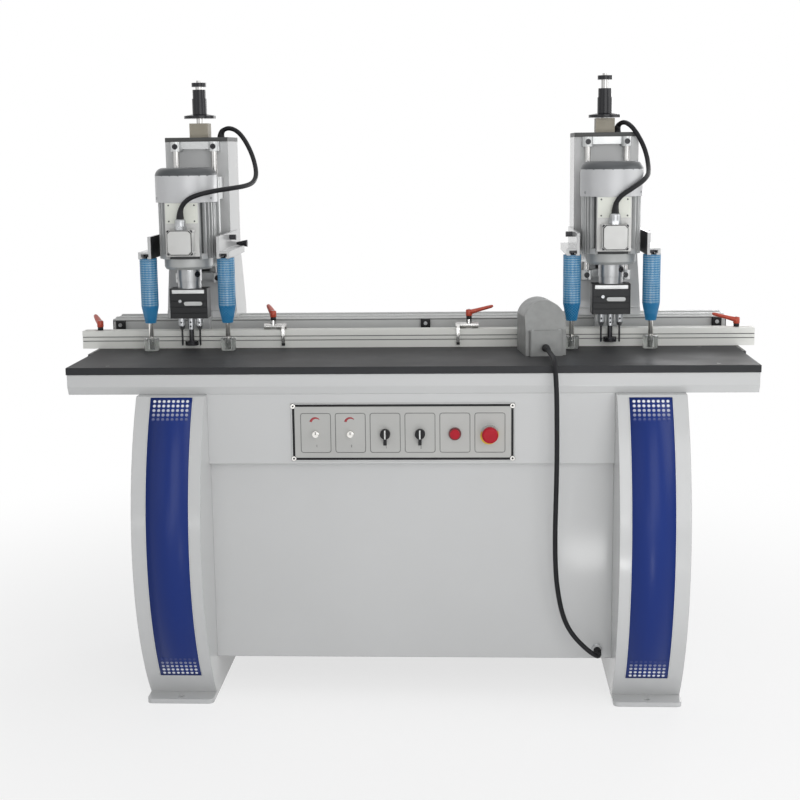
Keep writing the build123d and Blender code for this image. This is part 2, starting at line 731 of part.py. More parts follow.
def pedal_housing():
    """Foot switch housing: cable box in front, arched hood behind it, open at the back."""
    front = -PEDAL_LENGTH / 2
    back = PEDAL_LENGTH / 2
    half = PEDAL_WIDTH / 2
    spring = PEDAL_HEIGHT - PEDAL_ARCH
    hood_front = front + PEDAL_NOSE
    hood = prism_y(arch(half, spring, PEDAL_HEIGHT, 0), hood_front, back)
    wedge = outline(
        (hood_front, PEDAL_BOX_HEIGHT), (hood_front + PEDAL_SLOPE, PEDAL_HEIGHT),
        (hood_front, PEDAL_HEIGHT),
    )
    hood -= prism_x(wedge, -half, half)
    box_half = PEDAL_BOX_WIDTH / 2
    box = block(-box_half, box_half, front, front + PEDAL_BOX_DEPTH, 0, PEDAL_BOX_HEIGHT)
    box = fillet(box.faces().sort_by(Axis.Y)[0].edges().filter_by(Axis.Z), PEDAL_ROUND)
    room = arch(half - PEDAL_WALL, spring, PEDAL_HEIGHT - PEDAL_WALL, PEDAL_WALL)
    shell = hood + box - prism_y(room, front + PEDAL_BOX_DEPTH + PEDAL_WALL, back)
    pin_end = half - PEDAL_WALL + TREADLE_PIN_HOLD + GAP
    shell -= along_x(treadle_pivot(), TREADLE_PIVOT_HEIGHT, -pin_end, pin_end, TREADLE_PIN + RUN)
    gland_end = front - PEDAL_GLAND_LENGTH
    shell += along_y(PEDAL_GLAND_X, PEDAL_GLAND_Z, gland_end, front, PEDAL_GLAND_RADIUS)
    return pedal_place() * shell


def pedal_treadle():
    """Treadle plate rising towards the mouth, on its cross pin."""
    y = treadle_pivot()
    z = TREADLE_PIVOT_HEIGHT
    half = TREADLE_THICK / 2
    tip = y + TREADLE_LENGTH
    plate = outline(
        (y - TREADLE_HEEL, z - half), (y, z - half), (tip, z - half + TREADLE_RISE),
        (tip, z + half + TREADLE_RISE), (y, z + half), (y - TREADLE_HEEL, z + half),
    )
    pin_end = PEDAL_WIDTH / 2 - PEDAL_WALL + TREADLE_PIN_HOLD
    treadle = prism_x(plate, -TREADLE_WIDTH / 2, TREADLE_WIDTH / 2)
    treadle += along_x(y, z, -pin_end, pin_end, TREADLE_PIN)
    return pedal_place() * treadle


def pedal_cord():
    """Cord from the foot switch over the table's edge down to the gland in the front panel."""
    gland_end = -PEDAL_LENGTH / 2 - PEDAL_GLAND_LENGTH
    start = pedal_place() * Pos(PEDAL_GLAND_X, gland_end, PEDAL_GLAND_Z)
    leads = [start.position, (start * Pos(0, -CORD_LEAD, 0)).position]
    upper = [(pedal_x + x, y, TABLE_HEIGHT + rise) for x, y, rise in CORD_FROM_TABLE]
    lower = [(gland_x + x, y, z) for x, y, z in CORD_FROM_FLOOR]
    end = (gland_x, lower_panel_front - GLAND_LENGTH, GLAND_Z)
    return tube([tuple(lead) for lead in leads] + upper + lower + [end], CORD_RADIUS)


def fence():
    """Extruded fence: front grooves, T-slot on top, hollow chamber, and a stud hole at each end."""
    section = Pos(fence_middle, (fence_bottom + fence_top) / 2) * Rectangle(FENCE_DEPTH, FENCE_HEIGHT)
    for rise in FENCE_GROOVES:
        groove = Rectangle(2 * FENCE_GROOVE_DEPTH, FENCE_GROOVE)
        section -= Pos(FENCE_FRONT, fence_bottom + rise) * groove
    slot_floor = fence_top - SLOT_DEPTH
    section -= Pos(fence_middle, fence_top) * Rectangle(SLOT_WIDTH, 2 * SLOT_DEPTH)
    slot_height = SLOT_DEPTH - SLOT_LIP
    section -= Pos(fence_middle, slot_floor + slot_height / 2) * Rectangle(SLOT_INNER, slot_height)
    chamber_front = FENCE_FRONT + FENCE_GROOVE_DEPTH + FENCE_WALL
    chamber_back = FENCE_FRONT + FENCE_DEPTH - FENCE_WALL
    chamber_low = fence_bottom + FENCE_WALL
    chamber_high = slot_floor - FENCE_WALL
    chamber = Rectangle(chamber_back - chamber_front, chamber_high - chamber_low)
    section -= Pos((chamber_front + chamber_back) / 2, (chamber_low + chamber_high) / 2) * chamber
    bar = prism_x(section, -fence_half, fence_half)
    for side in (-1, 1):
        bar -= upright(side * fence_lever_x, fence_middle, fence_bottom, fence_top, STUD_RADIUS + RUN)
    return bar


def lever(x, level, turn, stud):
    """Clamp lever on its stud: round base, hub and a rising handle that ends in a ball."""
    root = LEVER_HUB_HEIGHT - LEVER_NECK_RADIUS
    slope = math.degrees(math.atan2(LEVER_RISE, LEVER_REACH))
    body = upright(0, 0, 0, LEVER_BASE_HEIGHT, LEVER_BASE_RADIUS)
    body += upright(0, 0, LEVER_BASE_HEIGHT, LEVER_HUB_HEIGHT, LEVER_HUB_RADIUS)
    handle = Cone(LEVER_NECK_RADIUS, LEVER_BALL_RADIUS, math.hypot(LEVER_REACH, LEVER_RISE))
    body += Pos(LEVER_REACH / 2, 0, root + LEVER_RISE / 2) * Rot(0, 90 - slope, 0) * handle
    body += Pos(LEVER_REACH, 0, root + LEVER_RISE) * Sphere(LEVER_BALL_RADIUS)
    body += upright(0, 0, -stud, 0, STUD_RADIUS)
    return Pos(x, fence_middle, level) * Rot(0, 0, turn) * body


def finger_side(i):
    """End of the bar with the finger: the right end of the first stop, the left of the second."""
    return 1 - 2 * i


def stop_carrier(i):
    """Round bar with its nut in the fence's slot, the lever's boss and the finger's journal."""
    x = STOP_PLACES[i]
    side = finger_side(i)
    half = STOP_BAR_LENGTH / 2
    slot_floor = fence_top - SLOT_DEPTH
    lip = fence_top - SLOT_LIP - GAP
    stem_half = SLOT_WIDTH / 2 - GAP
    nut_half = SLOT_INNER / 2 - GAP
    body = along_x(fence_middle, bar_level, x - half, x + half, STOP_BAR_RADIUS)
    body += block(
        x - STOP_STEM / 2, x + STOP_STEM / 2, fence_middle - stem_half, fence_middle + stem_half,
        lip, bar_level,
    )
    body += block(
        x - STOP_NUT / 2, x + STOP_NUT / 2, fence_middle - nut_half, fence_middle + nut_half,
        slot_floor + GAP, lip,
    )
    body += upright(x, fence_middle, bar_level, boss_top, STOP_BOSS_RADIUS)
    end = x + side * half
    journal_end = end + side * (FINGER_THICK + 2 * GAP)
    body += along_x(fence_middle, bar_level, end, journal_end, STOP_JOURNAL_RADIUS)
    cap_end = journal_end + side * STOP_CAP
    body += along_x(fence_middle, bar_level, journal_end, cap_end, STOP_CAP_RADIUS)
    return body - upright(x, fence_middle, boss_top - STOP_STUD, boss_top, STUD_RADIUS + RUN)


def stop_finger(i):
    """Flip finger: hub on the journal, arm over the fence and a leg down its face."""
    side = finger_side(i)
    near = STOP_PLACES[i] + side * (STOP_BAR_LENGTH / 2 + GAP)
    far = near + side * FINGER_THICK
    back = FENCE_FRONT - FINGER_GAP
    front = back - FINGER_WIDTH
    low = bar_level + FINGER_SHOULDER - FINGER_ARM
    high = bar_level + FINGER_SHOULDER
    arm = outline(
        (fence_middle, low), (back, low), (back, TABLE_HEIGHT + FINGER_TIP_GAP),
        (front, TABLE_HEIGHT + FINGER_TIP_GAP), (front, low), (back, high), (fence_middle, high),
    )
    body = prism_x(arm, near, far) + along_x(fence_middle, bar_level, near, far, FINGER_HUB_RADIUS)
    return body - along_x(fence_middle, bar_level, near, far, STOP_JOURNAL_RADIUS + RUN)


def stop_lever(i):
    """Lever that clamps a stop."""
    return lever(STOP_PLACES[i], boss_top + GAP, STOP_LEVER_TURNS[i], STOP_STUD)


def flared(inset):
    """Front outline of a column: straight above the arms, bowed out towards its foot."""
    top = COLUMN_WIDTH / 2 - inset
    middle = COLUMN_FLARE_MIDDLE / 2 - inset
    foot = COLUMN_FLARE / 2 - inset
    middle_level = (arm_bottom + saddle_top) / 2
    right = ThreePointArc((top, arm_bottom), (middle, middle_level), (foot, saddle_top))
    left = ThreePointArc((-foot, saddle_top), (-middle, middle_level), (-top, arm_bottom))
    upper = Polyline(left @ 1, (-top, column_top), (top, column_top), right @ 0)
    return make_face([right, Line(right @ 1, left @ 0), left, upper])


def column():
    """Hollow column on its saddle, with a slot for the feed bracket and a stop tab, and its top plate."""
    half = COLUMN_WIDTH / 2
    foot = COLUMN_FLARE / 2
    post = prism_y(flared(0), column_front, column_back)
    post -= prism_y(flared(COLUMN_WALL), column_front + COLUMN_WALL, column_back - COLUMN_WALL)
    slot_half = BRACKET_WIDTH / 2 + COLUMN_SLOT_MARGIN
    post -= block(
        -slot_half, slot_half, column_front, column_front + COLUMN_WALL,
        carriage_low - COLUMN_SLOT_END, bracket_top + FEED_STROKE + COLUMN_SLOT_END,
    )
    tab = SADDLE_TAB / 2
    tab_front = beam_front - SADDLE_TAB_REACH
    saddle_front = column_front - SADDLE_LEDGE
    lip_low = saddle_bottom - SADDLE_LIP
    post += block(-foot, foot, saddle_front, column_back, saddle_bottom, saddle_top)
    post += block(-tab, tab, tab_front, saddle_front, saddle_bottom, saddle_top)
    post += block(-tab, tab, tab_front, beam_front - 2 * GAP, lip_low, saddle_bottom)
    post += block(-foot, foot, beam_back + 2 * GAP, column_back, lip_low, saddle_bottom)
    for y in rail_places():
        groove = Box(COLUMN_FLARE, RAIL_WIDTH + 2 * GAP, 2 * RAIL_HEIGHT)
        post -= Pos(0, y, saddle_bottom) * groove
    plate_front_edge = column_front - TOP_PLATE_OVERHANG
    plate_back_edge = column_back + TOP_PLATE_OVERHANG
    top_plate = block(-half, half, plate_front_edge, plate_back_edge, column_top, top_plate_top)
    top_plate -= upright(0, feed_y, column_top, top_plate_top, FEED_ROD_RADIUS + TOP_PLATE_HOLE)
    return post, top_plate


def rod_support(top):
    """Clamp block on the column's front that holds both guide rods."""
    low = top - SUPPORT_HEIGHT
    half = SUPPORT_BOSS / 2
    reach = ROD_PITCH / 2
    body = block(-reach, reach, rod_y + SUPPORT_BAR_BACK, column_front, top - SUPPORT_BAR, top)
    for x in (-reach, reach):
        body += upright(x, rod_y, low, top, half)
        body += block(x - half, x + half, rod_y, column_front, low, top)
    for x in (-reach, reach):
        body -= upright(x, rod_y, low, top, ROD_RADIUS)
    return body


def guide_rods():
    """Two guide rods with their upper and lower support."""
    places = (-ROD_PITCH / 2, ROD_PITCH / 2)
    rods = [upright(x, rod_y, rod_bottom, column_top, ROD_RADIUS) for x in places]
    return rods + [rod_support(column_top), rod_support(rod_bottom + SUPPORT_HEIGHT)]


def feed_cylinder():
    """Air cylinder hung under the top plate, and the stop block above the plate."""
    barrel = upright(0, feed_y, barrel_bottom, column_top, BARREL_RADIUS)
    bore = BARREL_RADIUS - BARREL_WALL
    barrel -= upright(0, feed_y, barrel_bottom + BARREL_HEAD, column_top - BARREL_HEAD, bore)
    barrel -= upright(0, feed_y, barrel_bottom, column_top, FEED_ROD_RADIUS + RUN)
    stop = Pos(0, feed_y, (top_plate_top + stop_level) / 2)
    stop *= Box(STOP_BLOCK, STOP_BLOCK, STOP_BLOCK_HEIGHT)
    stop -= upright(0, feed_y, top_plate_top, stop_level, FEED_ROD_RADIUS + RUN)
    return barrel, stop


def depth_stop_levels():
    """Underside of the depth stop when it is down, and its top."""
    low = stop_level + GAP
    return low, low + DEPTH_FLANGE_HEIGHT + DEPTH_SLEEVE_HEIGHT + DEPTH_NECK_HEIGHT


def feed_rod():
    """Piston rod from the bracket up through the cylinder and stop block to its end disc."""
    disc_low = depth_stop_levels()[1] + END_DISC_GAP
    disc_top = disc_low + END_DISC_HEIGHT
    piston_low = barrel_bottom + BARREL_HEAD + PISTON_REST
    body = upright(0, feed_y, bracket_top, disc_low, FEED_ROD_RADIUS)
    piston_radius = BARREL_RADIUS - BARREL_WALL - RUN
    body += upright(0, feed_y, piston_low, piston_low + PISTON_THICK, piston_radius)
    body += upright(0, feed_y, disc_low, disc_top, END_DISC_RADIUS)
    return body + upright(0, feed_y, disc_top, disc_top + ROD_TIP, ROD_TIP_RADIUS)


def depth_stop():
    """Depth stop on the rod: sloped flange, sleeve and a narrower neck."""
    low, top = depth_stop_levels()
    rim = low + DEPTH_FLANGE_RIM
    flange = low + DEPTH_FLANGE_HEIGHT
    sleeve = flange + DEPTH_SLEEVE_HEIGHT
    body = upright(0, feed_y, low, rim, DEPTH_FLANGE_RADIUS)
    body += cone_up(0, feed_y, rim, flange, DEPTH_FLANGE_RADIUS, DEPTH_SLEEVE_RADIUS)
    body += upright(0, feed_y, flange, sleeve, DEPTH_SLEEVE_RADIUS)
    body += upright(0, feed_y, sleeve, top, DEPTH_NECK_RADIUS)
    return body - upright(0, feed_y, low, top, FEED_ROD_RADIUS + RUN)


def carriage():
    """Plate with four bearing housings on the guide rods and a bracket back to the feed rod."""
    high = carriage_low + CARRIAGE_HEIGHT
    body = block(-CARRIAGE_WIDTH / 2, CARRIAGE_WIDTH / 2, foot_face, plate_back, carriage_low, high)
    arm = BRACKET_WIDTH / 2
    body += block(-arm, arm, plate_back, feed_y + BRACKET_END, carriage_low, bracket_top)
    half = BEARING_WIDTH / 2
    back = rod_y + BEARING_DEPTH / 2
    for x in (-ROD_PITCH / 2, ROD_PITCH / 2):
        for low in (carriage_low, high - BEARING_LENGTH):
            body += block(x - half, x + half, plate_back, back, low, low + BEARING_LENGTH)
        body -= upright(x, rod_y, carriage_low, high, ROD_RADIUS + RUN)
    return body


def motor_housing():
    """Finned motor body with front pad, rear foot, flange and end shield, and its terminal box."""
    fin_length = MOTOR_RADIUS - MOTOR_CORE + FIN_ROOT
    fin = Pos(MOTOR_RADIUS - fin_length / 2, 0, BODY_LENGTH / 2)
    fin *= Box(fin_length, FIN_THICK, BODY_LENGTH)
    fins = []
    for k in range(round(360 / FIN_STEP)):
        turn = k * FIN_STEP
        from_back = abs(turn - TO_BACK)
        from_front = abs(turn - TO_FRONT)
        if from_front > FRONT_FIN_CLEAR and from_back > REAR_FIN_CLEAR:
            fins.append(Pos(0, spindle_y, flange_top) * Rot(0, 0, turn) * fin)
    low = flange_top + MOTOR_PAD_MARGIN
    lip = coupling_top + FLANGE_LIP
    body = upright(0, spindle_y, flange_top, body_top, MOTOR_CORE) + fins
    body += block(-MOTOR_PAD_WIDTH / 2, MOTOR_PAD_WIDTH / 2, pad_face, spindle_y, low, body_top)
    body += block(-MOTOR_FOOT_WIDTH / 2, MOTOR_FOOT_WIDTH / 2, spindle_y, foot_face, low, body_top)
    lug = Pos(MOTOR_RADIUS - MOTOR_LUG / 2, 0, MOTOR_LUG_HEIGHT / 2)
    lug *= Box(MOTOR_LUG, MOTOR_LUG, MOTOR_LUG_HEIGHT)
    turns = [360 * (k + 0.5) / MOTOR_LUGS for k in range(MOTOR_LUGS)]
    body += [Pos(0, spindle_y, flange_top) * Rot(0, 0, turn) * lug for turn in turns]
    body += cone_up(0, spindle_y, coupling_top, lip, FLANGE_LOW_RADIUS, FLANGE_RADIUS)
    body += upright(0, spindle_y, lip, flange_top, FLANGE_RADIUS)
    shield = FAN_COVER_RADIUS - FAN_COVER_WALL - RUN
    shield_top = body_top + SHIELD_THICK
    body += upright(0, spindle_y, body_top, shield_top, shield)
    body -= upright(0, spindle_y, flange_top + SHIELD_THICK, body_top - SHIELD_THICK, MOTOR_BORE)
    body -= upright(0, spindle_y, coupling_top, shield_top, SHAFT_RADIUS + RUN)
    half = TERMINAL_WIDTH / 2
    box_front = pad_face - TERMINAL_DEPTH
    box = block(-half, half, box_front, pad_face, terminal_top - TERMINAL_HEIGHT, terminal_top)
    box = chamfer(box.edges().filter_by(Axis.Y), TERMINAL_CHAMFER)
    nut = extrude(RegularPolygon(TERMINAL_GLAND_RADIUS, 6), TERMINAL_GLAND_NUT)
    box += Pos(0, terminal_y, terminal_top) * nut
    gland_top = terminal_top + TERMINAL_GLAND_HEIGHT
    dome = upright(0, terminal_y, terminal_top + TERMINAL_GLAND_NUT, gland_top, TERMINAL_GLAND_DOME)
    box += fillet(dome.faces().sort_by(Axis.Z)[-1].edges(), TERMINAL_GLAND_ROUND)
    return body, box


def cover_form(inset):
    """Round form with a rounded shoulder, as large as the fan cover less an inset."""
    radius = FAN_COVER_RADIUS - inset
    top = fan_top - inset
    face = outline((0, body_top), (radius, body_top), (radius, top), (0, top))
    corner = face.vertices().filter_by_position(Axis.Y, top, top).sort_by(Axis.X)[-1]
    return Pos(0, spindle_y, 0) * revolve(Plane.XZ * fillet(corner, FAN_ROUND - inset), Axis.Z)


def fan_cover():
    """Sheet cover over the motor's fan, with a rounded shoulder and radial slots in its top."""
    body = cover_form(0) - cover_form(FAN_COVER_WALL)
    length = FAN_SLOT_OUTER - FAN_SLOT_INNER
    slot = Pos(FAN_SLOT_INNER + length / 2, 0, fan_top)
    slot *= Box(length, FAN_SLOT_WIDTH, 4 * FAN_COVER_WALL)
    slots = [Pos(0, spindle_y, 0) * Rot(0, 0, 360 * k / FAN_SLOTS) * slot for k in range(FAN_SLOTS)]
    return body - slots


def gear_room():
    """Floor and ceiling of the room in the gearbox."""
    return gearbox_bottom + GEARBOX_FLOOR, gearbox_top - GEARBOX_ROOF


def side_axes():
    """The two side spindles, from left to right, as places in X and Y."""
    return [(-SIDE_PITCH, spindle_y - SIDE_AHEAD), (SIDE_PITCH, spindle_y - SIDE_AHEAD)]


def gearbox():
    """Grooved gearbox with its room and bores, and the neck up to the motor."""
    half_x = GEARBOX_WIDTH / 2
    half_y = GEARBOX_DEPTH / 2
    front = spindle_y - half_y
    room_low, room_high = gear_room()
    body = block(-half_x, half_x, front, spindle_y + half_y, gearbox_bottom, gearbox_top)
    body = fillet(body.edges().filter_by(Axis.Z), GEARBOX_ROUND)
    for rise in GEARBOX_GROOVES:
        groove = Box(GEARBOX_WIDTH, 2 * GEARBOX_GROOVE, GEARBOX_GROOVE)
        body -= Pos(0, front, gearbox_bottom + rise) * groove
    room_x = half_x - GEARBOX_SIDE_WALL
    room_y = half_y - GEARBOX_END_WALL
    body -= block(-room_x, room_x, spindle_y - room_y, spindle_y + room_y, room_low, room_high)
    body -= upright(0, spindle_y, gearbox_bottom, gearbox_top, SHAFT_RADIUS + RUN)
    for x, y in side_axes():
        body -= upright(x, y, gearbox_bottom, room_low, SIDE_SHAFT_RADIUS + RUN)
    neck = upright(0, spindle_y, gearbox_top, ring_top, RING_RADIUS)
    neck += upright(0, spindle_y, ring_top, coupling_top, COUPLING_RADIUS)
    neck -= upright(0, spindle_y, gearbox_top, coupling_top, SHAFT_RADIUS + NECK_BORE)
    return body, neck


def gear(x, y):
    """Gear wheel as a disc inside its pitch circle, in the middle of the gearbox's room."""
    room_low, room_high = gear_room()
    middle = (room_low + room_high) / 2
    return upright(x, y, middle - GEAR_THICK / 2, middle + GEAR_THICK / 2, gear_radius)


def centre_spindle():
    """Fan, rotor, shaft, gear and chuck on one axis, with the cup cutter."""
    y = spindle_y
    fan_low = body_top + SHIELD_THICK + FAN_RISE
    fan_high = fan_low + FAN_THICK
    rotor_middle = (flange_top + body_top) / 2
    shank_low = cutter_bottom + CUTTER_LENGTH
    body = upright(0, y, chuck_bottom, fan_high, SHAFT_RADIUS)
    body += upright(0, y, fan_low, fan_high, FAN_RADIUS)
    rotor_half = ROTOR_LENGTH / 2
    body += upright(0, y, rotor_middle - rotor_half, rotor_middle + rotor_half, ROTOR_RADIUS)
    body += gear(0, y)
    body += upright(0, y, chuck_bottom, gearbox_bottom - GAP, CHUCK_RADIUS)
    body += upright(0, y, shank_low, chuck_bottom, SHANK_RADIUS)
    cutter = upright(0, y, cutter_bottom, shank_low, CUTTER_RADIUS)
    cutter -= Pos(0, y, cutter_bottom) * Box(2 * CUTTER_RADIUS, CUTTER_FLUTE, CUTTER_LENGTH)
    core = upright(0, y, cutter_bottom, shank_low, SHANK_RADIUS)
    point_low = cutter_bottom - CUTTER_POINT
    point = cone_up(0, y, point_low, cutter_bottom, CUTTER_POINT_TIP, CUTTER_POINT_RADIUS)
    return body + cutter + core + point


def side_spindle(i):
    """Side shaft with its gear, chuck and drill."""
    x, y = side_axes()[i]
    tip = TABLE_HEIGHT + SIDE_DRILL_GAP
    cone_top = tip + SIDE_DRILL_RADIUS
    body = upright(x, y, gearbox_bottom - GAP, gear_room()[1] - GAP, SIDE_SHAFT_RADIUS) + gear(x, y)
    nose_top = chuck_bottom + CHUCK_NOSE
    body += upright(x, y, nose_top, gearbox_bottom - GAP, CHUCK_RADIUS)
    body += cone_up(x, y, chuck_bottom, nose_top, CHUCK_NOSE_RADIUS, CHUCK_RADIUS)
    body += upright(x, y, cone_top, chuck_bottom, SIDE_DRILL_RADIUS)
    return body + cone_up(x, y, tip, cone_top, SIDE_DRILL_TIP, SIDE_DRILL_RADIUS)


def clamp_arm():
    """Right-hand arm: tall flange along the column's side with a slotted channel at its foot."""
    x0 = COLUMN_WIDTH / 2
    x1 = x0 + ARM_PLATE
    x2 = x0 + ARM_WIDTH
    low = arm_bottom
    foot = low + ARM_CHANNEL
    lip = low + ARM_SLOT_LIP
    roof = low + ARM_SLOT_DEPTH
    axis = CLAMP_PITCH / 2
    narrow = ARM_SLOT / 2
    wide = ARM_SLOT_INNER / 2
    front = clamp_y - ARM_OVERHANG
    channel = outline(
        (x0, low), (axis - narrow, low), (axis - narrow, lip), (axis - wide, lip), (axis - wide, roof),
        (axis + wide, roof), (axis + wide, lip), (axis + narrow, lip), (axis + narrow, low), (x2, low),
        (x2, foot), (x0, foot),
    )
    channel_end = column_front + ARM_CHANNEL_TAIL
    end = column_front + ARM_TAIL
    flange = block(x0, x1, front, end, foot, low + ARM_HEIGHT)
    tail = block(x0, x1, channel_end, end, low, foot)
    return prism_y(channel, front, channel_end) + flange + tail


def arm_screw():
    """Hexagon screw in the right-hand arm's flange."""
    side = COLUMN_WIDTH / 2 + ARM_PLATE
    place = Pos(side, column_front - ARM_SCREW_AHEAD, arm_bottom + ARM_SCREW_RISE) * Rot(0, 90, 0)
    return place * extrude(RegularPolygon(ARM_SCREW_RADIUS, 6), ARM_SCREW_LENGTH)


def arm_knob():
    """Hand knob behind the right-hand arm's channel."""
    middle = COLUMN_WIDTH / 2 + ARM_PLATE + ARM_KNOB_LENGTH / 2
    place = Pos(middle, column_front + ARM_KNOB_BACK, arm_bottom + ARM_KNOB_RISE)
    return place * Rot(0, 90, 0) * Cone(ARM_KNOB_ROOT, ARM_KNOB_RADIUS, ARM_KNOB_LENGTH)


def clamp_arms():
    """Both arms of a head with their screws, and the knob on the right."""
    pair = [clamp_arm(), arm_screw()]
    return pair + [mirror(piece, about=Plane.YZ) for piece in pair] + [arm_knob()]


def clamp_cylinder(x):
    """Hold-down cylinder with a tapered nose, hung from the arm's slot by its bolt."""
    shoulder = clamp_bottom + CLAMP_NOSE
    bolt_top = arm_bottom + ARM_SLOT_DEPTH - GAP
    head_low = arm_bottom + ARM_SLOT_LIP + GAP
    body = upright(x, clamp_y, shoulder, arm_bottom, CLAMP_RADIUS)
    body += cone_up(x, clamp_y, clamp_bottom, shoulder, CLAMP_NOSE_RADIUS, CLAMP_RADIUS)
    body += upright(x, clamp_y, arm_bottom, head_low, ARM_BOLT_RADIUS)
    head = Box(ARM_BOLT_HEAD, ARM_BOLT_HEAD, bolt_top - head_low)
    body += Pos(x, clamp_y, (head_low + bolt_top) / 2) * head
    bore_top = clamp_bottom + CLAMP_ROD_HIDDEN + CLAMP_TRAVEL + CLAMP_BORE_SPARE
    return body - upright(x, clamp_y, clamp_bottom, bore_top, CLAMP_ROD_RADIUS + RUN)


def clamp_rod(x):
    """Hold-down rod with its round foot."""
    foot_top = clamp_foot_bottom + CLAMP_FOOT_HEIGHT
    foot = upright(x, clamp_y, clamp_foot_bottom, foot_top, CLAMP_FOOT_RADIUS)
    foot = chamfer(foot.faces().sort_by(Axis.Z)[-1].edges(), CLAMP_FOOT_CHAMFER)
    return foot + upright(x, clamp_y, foot_top, clamp_bottom + CLAMP_ROD_HIDDEN, CLAMP_ROD_RADIUS)


def motor_cable(i):
    """Cable from the terminal box round to the top plate, in the head's own frame."""
    points = (LEFT_CABLE, RIGHT_CABLE)[i]
    route = [(x, spindle_y + back, column_top + rise) for x, back, rise in points]
    gland_top = terminal_top + TERMINAL_GLAND_HEIGHT + LIFTS[i]
    leads = [(0, terminal_y, gland_top), (0, terminal_y, gland_top + CABLE_LEAD)]
    landing = CABLE_LANDINGS[i]
    ends = [(landing, feed_y, top_plate_top + CABLE_DROP), (landing, feed_y, top_plate_top)]
    return tube(leads + route + ends, CABLE_RADIUS)


def save_head(i, name):
    """Write the sixteen nodes of one head."""
    fixed = Pos(head_places[i], 0, 0)
    lifted = Pos(head_places[i], 0, LIFTS[i])
    clamps = (-CLAMP_PITCH / 2, CLAMP_PITCH / 2)
    nodes = {
        "column": (fixed, column()),
        "guide_rods": (fixed, guide_rods()),
        "feed_cylinder": (fixed, feed_cylinder()),
        "clamp_arms": (fixed, clamp_arms()),
        "clamp_cylinders": (fixed, [clamp_cylinder(x) for x in clamps]),
        "clamp_rods": (fixed, [clamp_rod(x) for x in clamps]),
        "motor_cable": (fixed, [motor_cable(i)]),
        "feed_rod": (lifted, [feed_rod()]),
        "depth_stop": (lifted * Pos(0, 0, DEPTH_SETTINGS[i]), [depth_stop()]),
        "carriage": (lifted, [carriage()]),
        "motor_housing": (lifted, motor_housing()),
        "fan_cover": (lifted, [fan_cover()]),
        "gearbox": (lifted, gearbox()),
        "centre_spindle": (lifted, [centre_spindle()]),
        "side_spindle_left": (lifted, [side_spindle(0)]),
        "side_spindle_right": (lifted, [side_spindle(1)]),
    }
    for node, (place, pieces) in nodes.items():
        save(f"{name}_{node}", *[place * piece for piece in pieces])


def main():
    """Write every node of the machine."""
    os.makedirs("parts", exist_ok=True)
    places = control_places()
    save("left_leg", leg(-1))
    save("right_leg", leg(1))
    save("front_panel", *front_panel())
    save("rear_panel", rear_panel())
    save("table_apron", table_apron())
    save("table_top", table_top())
    save("fence_guide_bars", *fence_guide_bars())
    save("rear_beam", rear_beam())
    save("beam_rails", *beam_rails())
    save("limit_blocks", *limit_blocks())
    save("control_plate", *control_plate())
    save("speed_knob_1", speed_knob(places[0]))
    save("speed_knob_2", speed_knob(places[1]))
    save("selector_1", selector(places[2]))
    save("selector_2", selector(places[3]))
    save("estop_button", estop_button())
    save("pedal_housing", pedal_housing())
    save("pedal_treadle", pedal_treadle())
    save("pedal_cord", pedal_cord())
    save("fence", fence())
    stud = FENCE_HEIGHT + GAP
    left_turn, right_turn = FENCE_LEVER_TURNS
    save("left_fence_lever", lever(-fence_lever_x, fence_top + GAP, left_turn, stud))
    save("right_fence_lever", lever(fence_lever_x, fence_top + GAP, right_turn, stud))
    for i in range(len(STOP_PLACES)):
        save(f"stop_{i + 1}_carrier", stop_carrier(i))
        save(f"stop_{i + 1}_finger", stop_finger(i))
        save(f"stop_{i + 1}_lever", stop_lever(i))
    for i, name in enumerate(("left", "right")):
        save_head(i, name)


main()
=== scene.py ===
"""Looks of the hinge boring machine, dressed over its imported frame. Lengths are in metres."""

import math

import bmesh
import bpy
from mathutils import Matrix, Vector


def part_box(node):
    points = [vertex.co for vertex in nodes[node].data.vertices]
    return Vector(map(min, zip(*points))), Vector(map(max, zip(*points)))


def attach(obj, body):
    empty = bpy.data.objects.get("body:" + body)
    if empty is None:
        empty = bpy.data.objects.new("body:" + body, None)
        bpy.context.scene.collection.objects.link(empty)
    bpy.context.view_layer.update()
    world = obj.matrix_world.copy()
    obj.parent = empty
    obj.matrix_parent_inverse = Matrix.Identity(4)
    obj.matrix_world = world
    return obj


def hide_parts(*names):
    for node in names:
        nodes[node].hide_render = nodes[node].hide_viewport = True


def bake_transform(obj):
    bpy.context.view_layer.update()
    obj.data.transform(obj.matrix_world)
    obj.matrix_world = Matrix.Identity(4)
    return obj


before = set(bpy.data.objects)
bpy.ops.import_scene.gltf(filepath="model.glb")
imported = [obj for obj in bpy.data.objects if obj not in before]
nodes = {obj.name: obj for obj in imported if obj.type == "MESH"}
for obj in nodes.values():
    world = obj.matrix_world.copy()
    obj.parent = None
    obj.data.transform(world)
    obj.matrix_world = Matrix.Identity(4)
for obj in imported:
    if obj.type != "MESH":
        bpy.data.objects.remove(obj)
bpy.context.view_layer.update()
scene = bpy.context.scene
scene.view_settings.view_transform = "Standard"

FRONT, BACK, UP = (0, -1, 0), (0, 1, 0), (0, 0, 1)
SIDES = (-1, 1)

